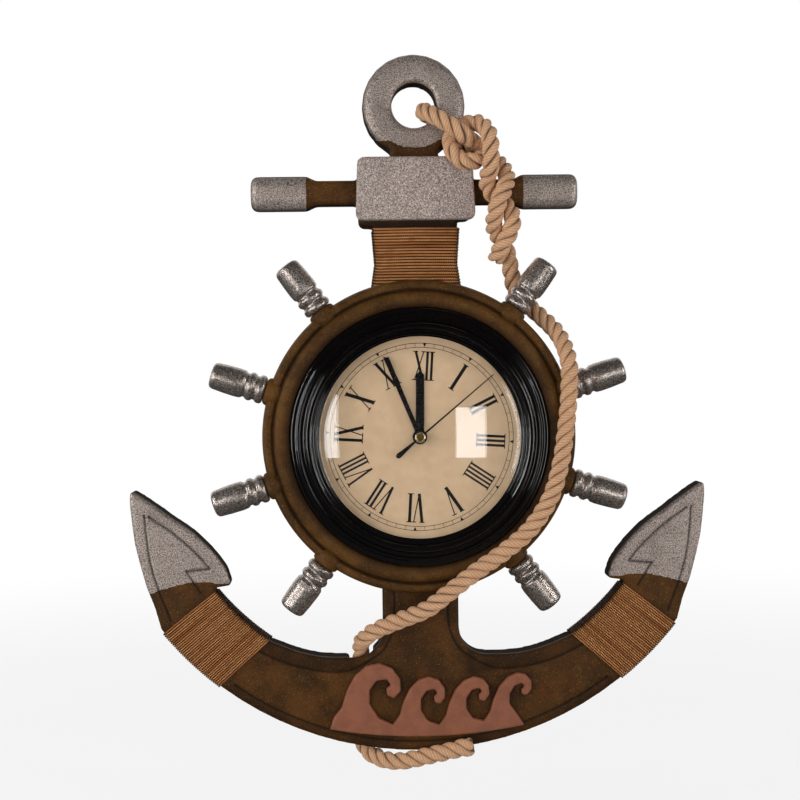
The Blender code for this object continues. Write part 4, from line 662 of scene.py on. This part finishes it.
def make_rope():
    route, lengths = resampled(spline_points(ROPE_ROUTE, 16), ROPE_STEP)
    _, normal, binormal = carried_frames(route)
    left = lengths[-1] - lengths
    opened = END_OPEN_SHARE * (1 - step_between(left, 0, END_OPEN_LENGTH))
    arm = STRAND_ARM * (1 + opened)[:, None]
    end_gap = np.clip(np.minimum(lengths, left) / STRAND_R, 0.02, 1)
    ends = np.sqrt(1 - (1 - end_gap) ** 2)
    parts, hollow_shade = [], []
    for strand in range(3):
        turn = 2 * math.pi * (lengths / ROPE_LAY + strand / 3)
        out = np.cos(turn)[:, None] * normal + np.sin(turn)[:, None] * binormal
        swell = 1 + SWELL_SHARE * np.sin(lengths * SWELL_PER_METRE + strand * 2.1)
        vertices, faces, uvs = tube(route + arm * out, STRAND_R * ends * swell, STRAND_SIDES, lengths,
                                    v_start=strand * 0.37)
        parts.append((vertices, faces, uvs))
        # Painted shade where a strand dips towards the rope's middle, between the strands
        outward = vertices.reshape(len(route), STRAND_SIDES, 3) - route[:, None]
        distance = np.linalg.norm(outward, axis=2)
        hollow_shade.append(1 - step_between(distance, HOLLOW_R, CREST_R).ravel())
    vertices, faces, uvs = merged(parts)
    mesh = build_mesh("rope_strands", vertices, faces, uvs)
    paint(mesh, "hollow_shade", np.concatenate(hollow_shade))
    paint(mesh, "shade", np.zeros(len(vertices)))
    rope = add_piece("rope_strands", mesh, ROPE_YARN, replaced=["rope"])


make_rope()


# Twine bands

# Half the shank's width at three levels, the first turn's level and the pitch
SHANK_HALVES = ((-0.0226, 0.0271), (-0.0463, 0.0254), (-0.0700, 0.0290))
SHANK_START_Z = -0.0236
SHANK_PITCH = 0.0019
# The angles from straight down at which the arm's band starts and ends, on both edges
ARM_INNER_START, ARM_INNER_END = 51.4, 35.3
ARM_OUTER_START, ARM_OUTER_END = 51.5, 37.9
ARM_INNER_SHARE = 0.8
SHANK_TURNS, ARM_TURNS = 20, 34
SHANK_YARN_R, ARM_YARN_R = 0.00090, 0.00069
REBATE = 0.0022
BAR_CORNER, CORNER_STEPS = 0.0022, 5
YARN_SINK_SHARE = 0.8
YARN_BOW = 0.0005
YARN_STEP = 0.0013
YARN_SIDES = 9
YARN_WAVER = 0.00007
YARN_SEED = 7


def crown_point(angle, radius):
    """The x and z of a point on the crown, at an angle from straight down."""
    a = math.radians(angle)
    return radius * math.sin(a), CROWN_Z - radius * math.cos(a)


def shank_edges(turn):
    """The band's left and right edge points at a turn."""
    z = SHANK_START_Z - SHANK_PITCH * turn
    half = np.interp(-z, [-level for level, _ in SHANK_HALVES], [h for _, h in SHANK_HALVES])
    return (-half, z), (half, z)


def arm_edges(turn):
    """The band's inner and outer edge points at a turn, on the right arm."""
    share = turn / ARM_TURNS
    inner = ARM_INNER_START + (ARM_INNER_END - ARM_INNER_START) * share
    outer = ARM_OUTER_START + (ARM_OUTER_END - ARM_OUTER_START) * share
    return crown_point(inner, ARM_INNER_SHARE * CROWN_R), crown_point(outer, CROWN_R)


def winding_route(edges, turns, radius):
    """A continuous route round a bar's section, given its two edges at each turn."""
    back, front = -REBATE + radius, -BOARD_T - radius
    route = []
    shape = []
    for quarter, (side, depth) in enumerate(((0, front), (1, front), (1, back), (0, back))):
        for k in range(CORNER_STEPS + 1):
            shape.append((quarter, side, depth, k / CORNER_STEPS))
    count = len(shape)
    for turn in range(turns):
        for index, (quarter, side, depth, share) in enumerate(shape):
            left, right = (np.array(p) for p in edges(turn + index / count))
            width = np.linalg.norm(right - left)
            across = (right - left) / width
            angle = math.radians(180 - 90 * quarter - 90 * share)
            middle = -radius + BAR_CORNER if side == 0 else width + radius - BAR_CORNER
            inward = BAR_CORNER if depth == front else -BAR_CORNER
            y = depth + inward - abs(inward) * math.sin(angle)
            place = left + across * (middle + BAR_CORNER * math.cos(angle))
            route.append((place[0], y, place[1]))
        left, right = (np.array(p) for p in edges(turn + 1 / 8))
        middle = (left + right) / 2
        start = len(route) - count + CORNER_STEPS + 1
        route.insert(start, (middle[0], front - YARN_BOW, middle[1]))
    return route


def make_winding(name, node, edges, turns, radius, side=1):
    """A band of twine round a bar. side is -1 for the left arm's mirrored one."""
    route = np.array(winding_route(edges, turns, radius * YARN_SINK_SHARE))
    route[:, 0] *= side
    route, lengths = resampled(route, YARN_STEP)
    chance = np.random.default_rng(YARN_SEED)
    shades = chance.uniform(-0.5, 0.9, 3 * turns + 1)
    shade = np.interp(np.linspace(0, 3 * turns, len(route)), range(3 * turns + 1), shades)
    waver = chance.normal(size=(len(route), 3))
    soft = np.stack([np.convolve(waver[:, k], np.ones(9) / 9, "same") for k in range(3)], axis=1)
    route = route + soft * YARN_WAVER
    vertices, faces, uvs = tube(route, np.full(len(route), radius), YARN_SIDES, lengths)
    mesh = build_mesh(name, vertices, faces, uvs)
    out = vertices - np.repeat(route, YARN_SIDES, axis=0)
    flat = 1 - np.abs(out[:, 1]) / radius
    # Painted shade on the yarn's sides, in the gaps between turns
    paint(mesh, "hollow_shade", step_between(flat, 0.06, 0.42))
    paint(mesh, "shade", np.repeat(shade, YARN_SIDES))
    add_piece(name, mesh, TWINE_YARN, replaced=[node])


make_winding("shank_twine", "shank_winding", shank_edges, SHANK_TURNS, SHANK_YARN_R)
make_winding("right_arm_twine", "right_arm_winding", arm_edges, ARM_TURNS, ARM_YARN_R)
make_winding("left_arm_twine", "left_arm_winding", arm_edges, ARM_TURNS, ARM_YARN_R, side=-1)


# Board, with carved lines and worn edges

# Carved lines of the left fluke in millimetres, x and z on the front face
FLUKE_LINES = (
    ((-177.4, -206.0), (-174.3, -234.5), (-169.6, -252.5), (-161.4, -274.0)),
    ((-174.4, -206.8), (-157.0, -219.4), (-141.4, -234.4), (-136.2, -241.0)),
    ((-136.2, -241.0), (-143.6, -242.0), (-151.0, -242.6)),
    ((-151.0, -242.6), (-148.2, -247.0), (-142.0, -256.8)),
)

# The crown's inner edge: angles from straight down and shares of the outer radius
CROWN_ANGLES = (16.8, 21.9, 26, 30, 33, 36)
CROWN_SHARES = (0.7396, 0.7627, 0.7769, 0.7877, 0.7943, ARM_INNER_SHARE)
CROWN_MARGIN_IN = 0.0095
CROWN_MARGIN_OUT = 0.0062
# The right inner line's way up the shank
SHANK_LINE = [(31.5, -301.5), (23.5, -294.5), (18.6, -283.0), (17.2, -270.0), (17.2, -254.0)]

GROOVE_HALF, GROOVE_DEPTH = 0.0012, 0.0012
GROOVE_OVERRUN, GROOVE_STEP, GROOVE_END = 0.002, 0.0022, 0.0004


def mirrored(line):
    return [(-x, z) for x, z in line]


def carved_lines():
    """Every carved line in millimetres: the flukes', the crown's with the shank's, and its outer one."""
    inner = [crown_point(angle, share * CROWN_R + CROWN_MARGIN_IN)
             for angle, share in zip(CROWN_ANGLES[::-1], CROWN_SHARES[::-1])]
    outer = [crown_point(angle, CROWN_R - CROWN_MARGIN_OUT) for angle in np.linspace(-36, 36, 19)]
    inner, outer = ([(x * MM, z * MM) for x, z in line] for line in (inner, outer))
    inner += SHANK_LINE
    return [*FLUKE_LINES, *map(mirrored, FLUKE_LINES), inner, mirrored(inner), outer]


def groove_tool(points):
    """A V-shaped cutter along a line on the board's front, given in millimetres."""
    flat = np.array([(x / MM, FRONT, z / MM) for x, z in points])
    smooth = spline_points(flat, 6) if len(points) > 3 else flat
    line, _ = resampled(smooth, GROOVE_STEP)
    ahead = np.gradient(line, axis=0)
    ahead /= np.linalg.norm(ahead, axis=1)[:, None]
    line[0] -= ahead[0] * GROOVE_END
    line[-1] += ahead[-1] * GROOVE_END
    across = np.cross(ahead, (0, 1, 0))
    out, down = np.array((0, -GROOVE_OVERRUN, 0)), np.array((0, GROOVE_DEPTH, 0))
    wide = GROOVE_HALF * (1 + GROOVE_OVERRUN / GROOVE_DEPTH)
    rings = [(p + a * wide + out, p - a * wide + out, p + down) for p, a in zip(line, across)]
    last = 3 * (len(rings) - 1)
    faces = [(i + k, i + (k + 1) % 3, i + 3 + (k + 1) % 3, i + 3 + k)
             for i in range(0, last, 3) for k in range(3)]
    faces += [(2, 1, 0), (last, last + 1, last + 2)]
    mesh = build_mesh("groove_and_shade", [p for ring in rings for p in ring], faces)
    clean(mesh)
    return placed("groove_tool", mesh), line


# The head ring's centre, its silver and how much of its foot stays brown
RING_Z = 0.0556
RING_SILVER_R = 0.0333
RING_NECK_BARE = 0.0060
# Where the silver of the stock's ends and of the flukes starts
HANDLE_START = (0.0692, 0.0704)
FLUKE_X, FLUKE_Z = 0.117, -0.18
# The painted shadow under the head plate
PLATE_SHADE_TOP, PLATE_SHADE_FOOT, PLATE_HALF = (0.0180, 0.0200), (0.0232, 0.0240), 0.045
# What counts as the front, and how soft a painted edge is
FACE_DEPTH = 0.003
PAINT_EDGE = 0.0004

# Where silver ends on the left fluke, in millimetres
SILVER_EDGE = ((-182, -259), (-175, -256.8), (-168, -254.2), (-160, -252.0), (-150, -249.8), (-140, -249.2),
               (-132, -250.4), (-122, -251), (-112, -252.5))


def groove_shade(places, lines):
    """Dark in the carved lines, as dark paint and painted shade, with a painted shadow under the head plate.
    """
    x, y, z = places.T
    near = np.full(len(places), 1.0)
    on_front = np.where(y < FRONT + FACE_DEPTH)[0]
    for some in np.array_split(on_front, max(1, len(on_front) // 4000)):
        apart = places[some][:, None, (0, 2)] - lines[None][:, :, (0, 2)]
        near[some] = np.sqrt((apart ** 2).sum(axis=2)).min(axis=1)
    # Dark paint in the carved lines, with painted shade there too
    groove_and_shade = (1 - step_between(near, 0.0004, 0.0013)) * (y > FRONT + 0.0004)
    # A painted shadow under the head plate
    under_plate = step_between(-z, *PLATE_SHADE_TOP) * (1 - step_between(-z, *PLATE_SHADE_FOOT))
    return np.maximum(groove_and_shade, 1.4 * under_plate * (np.abs(x) < PLATE_HALF))


def crown_margin(places):
    """The crown's border bands, outside its carved lines."""
    x, y, z = places.T
    angle = np.degrees(np.arctan2(np.abs(x), CROWN_Z - z))
    radius = np.hypot(x, z - CROWN_Z)
    inner_edge = np.interp(angle, CROWN_ANGLES, CROWN_SHARES) * CROWN_R + CROWN_MARGIN_IN
    margin = np.maximum(step_between(radius - CROWN_R + CROWN_MARGIN_OUT, -PAINT_EDGE, PAINT_EDGE),
                        step_between(inner_edge - radius, -PAINT_EDGE, PAINT_EDGE))
    return margin * (y < FRONT + FACE_DEPTH) * (angle < 36.5) * (np.abs(x) > 0.030)


def silver_places(places, facing):
    """The silver of the head ring, the stock's ends and the flukes."""
    x, _, z = places.T
    from_down = np.degrees(np.arctan2(np.abs(x), RING_Z - z))
    ring_edge = RING_SILVER_R - RING_NECK_BARE * (1 - step_between(from_down, 34, 50))
    ring = 1 - step_between(np.hypot(x, z - RING_Z) - ring_edge, -PAINT_EDGE, 2 * PAINT_EDGE)
    handle = step_between(np.abs(x), *HANDLE_START) * (np.abs(z) < 0.02)
    edge_x, edge_z = np.array(SILVER_EDGE).T / MM
    limit = np.interp(-np.abs(x), edge_x, edge_z)
    fluke = step_between(z - limit, -0.0006, 0.0006) * (np.abs(x) > FLUKE_X) * (z < FLUKE_Z)
    front = step_between(-facing[:, 1], 0.20, 0.42)
    return np.maximum(np.maximum(ring * front, handle), fluke * front)


def make_board():
    made = [groove_tool(points) for points in carved_lines()]
    mesh = recast("anchor_board", 0.0013, 4, [tool for tool, _ in made])
    places, facing = vertex_data(mesh), vertex_data(mesh, "normal")
    paint(mesh, "groove_and_shade", groove_shade(places, np.concatenate([line for _, line in made])))
    paint(mesh, "margin", crown_margin(places))
    paint(mesh, "silver", silver_places(places, facing))
    wall = 1 - step_between(np.abs(facing[:, 1]), 0.2, 0.8)
    paint(mesh, "wall", wall * step_between(places[:, 1], FRONT + 0.0008, FRONT + 0.0045))
    add_piece("carved_board", mesh, BOARD_PAINT, replaced=["anchor_board"])


make_board()


# Plate and ornament

def make_cast(name, node, voxel, smoothing, material):
    add_piece(name, recast(node, voxel, smoothing), material, replaced=[node])


make_cast("cast_head_plate", "head_plate", 0.0007, 4, PLATE_PAINT)
make_cast("cast_wave_ornament", "wave_ornament", 0.00055, 12, TERRACOTTA)


# Wheel

SPOKE_ANGLES = [side * angle for angle in (37.5, 72.5, 107.5, 142.5) for side in (1, -1)]
SPOKE_OUT = 0.0279
RIM_BACK = 0.0183
RIM_BORE_R = 0.0823
# The dark line in the rim's turned groove
RIM_LINE_R, RIM_LINE_HALF = 0.0933, 0.0009
# Painted shade darkens the rim round the bezel, between the bore and this radius
RIM_SHADE_R = 0.0885

# Sections in millimetres. The rim's is measured from RIM_R and RIM_BACK
RIM_SECTION = (
    (-28.5, 0), (-7.4, 0), (-7.4, 2.4), (-1.6, 2.4), (0, 5.0), (0, 12.9), (-1.4, 16.1), (-2.8, 16.9),
    (-5.4, 16.5), (-6.4, 15.3), (-7.2, 15.5), (-8.0, 18.1), (-10.0, 19.6), (-12.4, 19.9), (-15.0, 19.4),
    (-17.7, 18.3), (-17.7, 13.2), (-28.5, 13.2),
)
# A spoke's and its boss's are (radius, out from RIM_R)
BOSS_SECTION = ((0, -8.5), (7.1, -8.5), (9.5, -4.2), (8.7, 1.2), (7.4, 2.4), (0, 2.4))
SPOKE_SECTION = (
    (0, -8.5), (4.7, -8.5), (4.7, 2.7), (7.8, 2.7), (9.0, 3.9), (9.2, 5.3), (9.0, 6.7), (7.7, 7.9),
    (7.7, 9.2), (8.9, 10.4), (9.2, 11.8), (8.9, 13.2), (7.7, 14.4), (7.7, 15.6), (8.9, 16.9),
    (9.2, 20.4), (9.0, 28.3), (8.5, 35.5), (7.7, 37.2), (6.0, 38.0), (0, 38.0),
)


def spoke_matrix(angle):
    a = math.radians(angle)
    local = (Matrix.Translation((0, 0, SPOKE_OUT)) @ Matrix.Rotation(-a, 4, "Z")
             @ Matrix.Rotation(-math.radians(90), 4, "X"))
    return front_matrix() @ local


def make_rim():
    profile = softened(section(RIM_SECTION, RIM_R, RIM_BACK), 0.0011, closed=True)
    ring = lathe("rim", profile, 200, closed=True)
    boss_profile = softened(section(BOSS_SECTION, height=RIM_R), 0.0010)
    bm = bmesh.new()
    bm.from_mesh(ring)
    for angle in SPOKE_ANGLES:
        bm.from_mesh(lathe("boss", boss_profile, 32, spoke_matrix(angle)))
    bm.to_mesh(ring)
    bm.free()
    x, y, z = vertex_data(ring).T
    radius = np.hypot(x, z - WHEEL_Z)
    line = np.exp(-((radius - RIM_LINE_R) / RIM_LINE_HALF) ** 2)
    # Painted shade round the bezel, fading out away from the bore
    bezel_shade = 0.85 * (1 - step_between(radius, RIM_BORE_R, RIM_SHADE_R))
    paint(ring, "groove_and_shade", np.maximum(line, bezel_shade) * (y < -0.032))
    evened(add_piece("turned_rim", ring, RIM_PAINT, replaced=["wheel_rim"]))


def make_spokes():
    profile = softened(section(SPOKE_SECTION, height=RIM_R), 0.0007, 3)
    for index, angle in enumerate(SPOKE_ANGLES):
        name = f"spoke_{index + 1}"
        mesh = lathe(f"turned_{name}", profile, 48, spoke_matrix(angle))
        evened(add_piece(f"turned_{name}", mesh, SPOKE_PAINT, replaced=[name]))


make_rim()
make_spokes()


# Clock

# The bezel's section in millimetres, measured from BEZEL_R and BEZEL_BACK
BEZEL_BACK = 0.0337
BEZEL_SECTION = (
    (-15.2, 0), (0, 0), (0, 4.7), (-0.8, 5.5), (-3.2, 5.5), (-3.9, 6.5), (-4.2, 7.5), (-5.7, 7.5),
    (-6.0, 7.0), (-8.4, 7.0), (-9.3, 8.7), (-9.7, 10.3), (-10.5, 11.1), (-12.7, 11.1), (-13.5, 10.4),
    (-14.6, 8.4), (-15.8, 8.4), (-16.1, 8.8), (-16.8, 8.8), (-17.1, 8.4), (-18.2, 8.4), (-18.2, 7.3),
    (-15.2, 7.3),
)
LENS_BACK, LENS_T, LENS_RISE = 0.0391, 0.0016, 0.0082
DOME_R, DOME_WALL, DOME_STEPS = 0.0628, 0.0008, 22


def make_bezel():
    profile = softened(section(BEZEL_SECTION, BEZEL_R, BEZEL_BACK), 0.0004, closed=True)
    mesh = lathe("bezel_ring", profile, 220, closed=True)
    evened(add_piece("bezel_ring", mesh, GLOSS_BLACK, replaced=["bezel"]))


def make_lens():
    shares = [i / DOME_STEPS for i in range(DOME_STEPS + 1)]
    front = LENS_BACK + LENS_T
    outer = [(DOME_R * s, front + LENS_RISE * (1 - s * s)) for s in reversed(shares)]
    inner = [((DOME_R - DOME_WALL) * s, LENS_BACK + LENS_RISE * (1 - s * s)) for s in shares]
    mesh = lathe("domed_glass", inner + [(LENS_R, LENS_BACK), (LENS_R, front)] + outer, 140)
    add_piece("domed_glass", mesh, GLASS, replaced=["lens"])


# The dial card, a little turned in its case, and its print
DIAL_TURN = 3.75
DIAL_HOLE_R = 0.0046
DIAL_BACK, DIAL_FRONT = 0.0337, 0.0343
PRINT_OUT = 0.03431
PRINT_T = 0.00006

# Numerals: stroke widths, height, inner radius, and each letter's width and step
THIN, SERIF, GLYPH_H, GLYPH_LOW_R = 0.00068, 0.00062, 0.0184, 0.0359
THICK, THICK_LESS = 0.0025, 0.0003
I_GAP, I_SERIF, WIDE_SERIF = 0.0013, 0.0020, 0.0032
V_W, V_STEP = 0.0054, 0.0080
X_W, X_STEP = 0.0052, 0.0076

# The minute track's two lines, its strokes and the wedges at the hours
TRACK_OUT_R, TRACK_IN_R, TRACK_LINE = 0.0592, 0.0566, 0.00035
TICK_END_R, TICK_LINE = 0.0595, 0.00024
WEDGE_R, WEDGE_TIP_R, WEDGE_HALF = 0.0596, 0.0570, 0.0012


def bar(start, end, width):
    """A flat stroke, as four corners."""
    a, b = np.array(start, float), np.array(end, float)
    across = np.array((-(b - a)[1], (b - a)[0])) / np.linalg.norm(b - a) / 2
    return [a - across * width, b - across * width, b + across * width, a + across * width]


def glyph(letter, x, thick):
    """Strokes of I, V or X from height 0 to GLYPH_H, and how far the next letter is."""
    top = GLYPH_H
    if letter == "I":
        strokes = [bar((x, 0), (x, top), thick)]
        feet, step, width = ((x, 0), (x, top)), thick + I_GAP, thick + I_SERIF
    elif letter == "V":
        low, right = (x + V_W / 2, 0), (x + V_W, top)
        strokes = [bar((x, top), low, thick), bar(right, low, THIN)]
        feet, step, width = ((x, top), right), V_STEP, WIDE_SERIF
    else:
        strokes = [bar((x, top), (x + X_W, 0), thick), bar((x + X_W, top), (x, 0), THIN)]
        feet, step, width = ((x, top), (x + X_W, top), (x, 0), (x + X_W, 0)), X_STEP, WIDE_SERIF
    for foot_x, foot_y in feet:
        level = foot_y - SERIF / 2 if foot_y else SERIF / 2
        strokes.append(bar((foot_x - width / 2, level), (foot_x + width / 2, level), SERIF))
    return strokes, step


def numeral(text, angle):
    """Strokes of a numeral whose feet point to the centre, at an angle clockwise from the top."""
    strokes, x = [], 0.0
    for letter in text:
        some, step = glyph(letter, x, THICK - THICK_LESS * len(text))
        strokes += some
        x += step
    xs = [p[0] for stroke in strokes for p in stroke]
    middle = (min(xs) + max(xs)) / 2
    a = math.radians(angle)
    return [[((px - middle) * math.cos(a) + (py + GLYPH_LOW_R) * math.sin(a),
              -(px - middle) * math.sin(a) + (py + GLYPH_LOW_R) * math.cos(a)) for px, py in stroke]
            for stroke in strokes]


def ring_strokes(radius, width, sides=180):
    found = []
    for k in range(sides):
        corners = []
        for r, m in ((radius, k), (radius, k + 1), (radius + width, k + 1), (radius + width, k)):
            a = 2 * math.pi * m / sides
            corners.append((r * math.sin(a), r * math.cos(a)))
        found.append(corners)
    return found


def dial_strokes():
    strokes = []
    texts = ("XII", "I", "II", "III", "IIII", "V", "VI", "VII", "VIII", "IX", "X", "XI")
    for hour, text in enumerate(texts):
        strokes += numeral(text, 30 * hour)
    strokes += ring_strokes(TRACK_OUT_R, TRACK_LINE) + ring_strokes(TRACK_IN_R, TRACK_LINE)
    for minute in range(60):
        a = math.radians(6 * minute)
        out, across = np.array((math.sin(a), math.cos(a))), np.array((math.cos(a), -math.sin(a)))
        if minute % 5:
            strokes.append(bar(out * TRACK_IN_R, out * TICK_END_R, TICK_LINE))
        else:
            base, side = out * WEDGE_R, across * WEDGE_HALF
            strokes.append([base + side, base - side, out * WEDGE_TIP_R])
    return strokes


def make_dial():
    profile = [(DIAL_HOLE_R, DIAL_BACK), (DIAL_R, DIAL_BACK), (DIAL_R, DIAL_FRONT), (DIAL_HOLE_R, DIAL_FRONT)]
    card = lathe("dial_face", profile, 160, closed=True)
    add_piece("dial_face", card, CARD, replaced=["dial"])
    card.polygons.foreach_set("use_smooth", [False] * len(card.polygons))
    vertices, faces = [], []
    for stroke in dial_strokes():
        start, count = len(vertices), len(stroke)
        vertices += [(p[0], p[1], level) for level in (PRINT_OUT, PRINT_OUT + PRINT_T) for p in stroke]
        faces += [tuple(start + k for k in range(count)), tuple(start + count + k for k in range(count))]
        faces += [(start + k, start + (k + 1) % count, start + count + (k + 1) % count, start + count + k)
                  for k in range(count)]
    matrix = front_matrix(DIAL_TURN)
    mesh = build_mesh("dial_print", [matrix @ Vector(v) for v in vertices], faces, smooth=False)
    clean(mesh, weld=False)
    add_piece("dial_print", mesh, INK)


# The hub cap's edge in millimetres from its radius and front, and its sunk middle
HUB_EDGE = ((0, -0.3), (-0.3, 0), (-0.8, 0), (-1.2, -0.6))
HUB_MIDDLE = ((0.9, -0.3), (0, -0.2))
HUB_CORE_IN, HUB_CORE_OUT = 0.0013, 0.0008


def make_hub():
    """A turned brass cap over the second hand, with a sunk middle."""
    low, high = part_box("hub_cap")
    radius, back, front = node_radius("hub_cap"), -high[1], -low[1]
    profile = [(0, back), (radius, back)] + section(HUB_EDGE, radius, front) + section(HUB_MIDDLE, 0.0, front)
    mesh = lathe("turned_hub_cap", softened(profile, 0.0002, 3), 64)
    x, _, z = vertex_data(mesh).T
    core = 1 - step_between(np.hypot(x, z - WHEEL_Z), radius - HUB_CORE_IN, radius - HUB_CORE_OUT)
    paint(mesh, "core", core)
    evened(add_piece("turned_hub_cap", mesh, BRASS, body="second", replaced=["hub_cap"]))


make_bezel()
make_lens()
make_dial()
make_hub()


# Light and surroundings

LAMP_AIM = (0, -0.045, WHEEL_Z)
# Each lamp's name, place, width and height, and radiance
LAMPS = (
    ("right_softbox", (0.55, -1.45, -0.235), (0.29, 0.57), 7.0),
    ("left_softbox", (-0.905, -1.40, -0.330), (0.40, 1.10), 7.0),
    ("left_key", (-1.45, -0.62, 0.15), (0.10, 1.1), 25.0),
    ("right_key", (1.45, -0.62, -0.05), (0.09, 1.0), 26.0),
    ("top_softbox", (0.0, -1.1, 1.3), (1.4, 0.5), 1.6),
)
UNMIRRORED = "top_softbox"
WHITE = (1, 1, 1, 1)
ROOM, ROOM_IN_GLOSS = 0.14, 0.025
# The least share of a ray's direction that points behind the clock
BEHIND = 0.5
FLOOR_HALF, FLOOR_Z = 4.0, -0.43
FLOOR_PALE, FLOOR_IN_GLOSS = (0.86, 0.86, 0.86, 1), (0.08, 0.08, 0.08, 1)


def add_softbox(name, place, size, radiance):
    """A rectangular lamp that faces the dial."""
    lamp = bpy.data.lights.new(name, "AREA")
    lamp.shape = "RECTANGLE"
    lamp.size, lamp.size_y = size
    lamp.energy = math.pi * size[0] * size[1] * radiance
    piece = placed(name, lamp)
    turn = (Vector(LAMP_AIM) - Vector(place)).to_track_quat("-Z", "Y").to_matrix().to_4x4()
    piece.matrix_world = Matrix.Translation(place) @ turn
    piece.visible_glossy = name != UNMIRRORED


def build_world():
    """A dim room. The camera, and mirrored or bent rays that go on behind, see white."""
    world = bpy.data.worlds.new("studio")
    bpy.context.scene.world = world
    world.use_nodes = True
    studio = Nodes(world.node_tree)
    rays = studio.add("LightPath").outputs
    dim = studio.add("MapRange", Value=rays["Is Glossy Ray"], To_Min=ROOM, To_Max=ROOM_IN_GLOSS)
    room = studio.add("Background", Color=WHITE, Strength=dim.outputs[0])
    white = studio.add("Background", Color=WHITE, Strength=1.0)
    direction = studio.add("SeparateXYZ", Vector=studio.add("TexCoord").outputs["Generated"])
    behind = studio.math("GREATER_THAN", direction.outputs[1], BEHIND)
    passed_on = studio.math("MAXIMUM", rays["Is Glossy Ray"], rays["Is Transmission Ray"])
    sees_white = studio.math("MAXIMUM", studio.math("MULTIPLY", passed_on, behind), rays["Is Camera Ray"])
    studio.blend_shaders(sees_white, room.outputs[0], white.outputs[0])


def add_floor():
    """A pale floor below the clock, which keeps its shadow."""
    corners = [(x * FLOOR_HALF, y * FLOOR_HALF, FLOOR_Z) for x, y in ((-1, -1), (1, -1), (1, 1), (-1, 1))]
    mesh = build_mesh("floor", corners, [(0, 1, 2, 3)])
    finish = Finish("pale_floor", FLOOR_PALE, 0.9)
    away = finish.add("VectorMath", Vector=finish.places)
    away.operation = "LENGTH"
    share = finish.between(away.outputs["Value"], 0.6, 1.5, 0.85, 1.0)
    rays = finish.add("LightPath").outputs
    finish.set("Base Color", finish.mix(rays["Is Glossy Ray"], FLOOR_PALE, FLOOR_IN_GLOSS))
    finish.blend_shaders(finish.math("MULTIPLY", rays["Is Camera Ray"], share), finish.shader.outputs[0],
                         finish.add("Emission").outputs[0])
    mesh.materials.append(finish.material)
    placed("floor", mesh)


for lamp_values in LAMPS:
    add_softbox(*lamp_values)
build_world()
add_floor()
bpy.context.scene.view_settings.view_transform = "Standard"
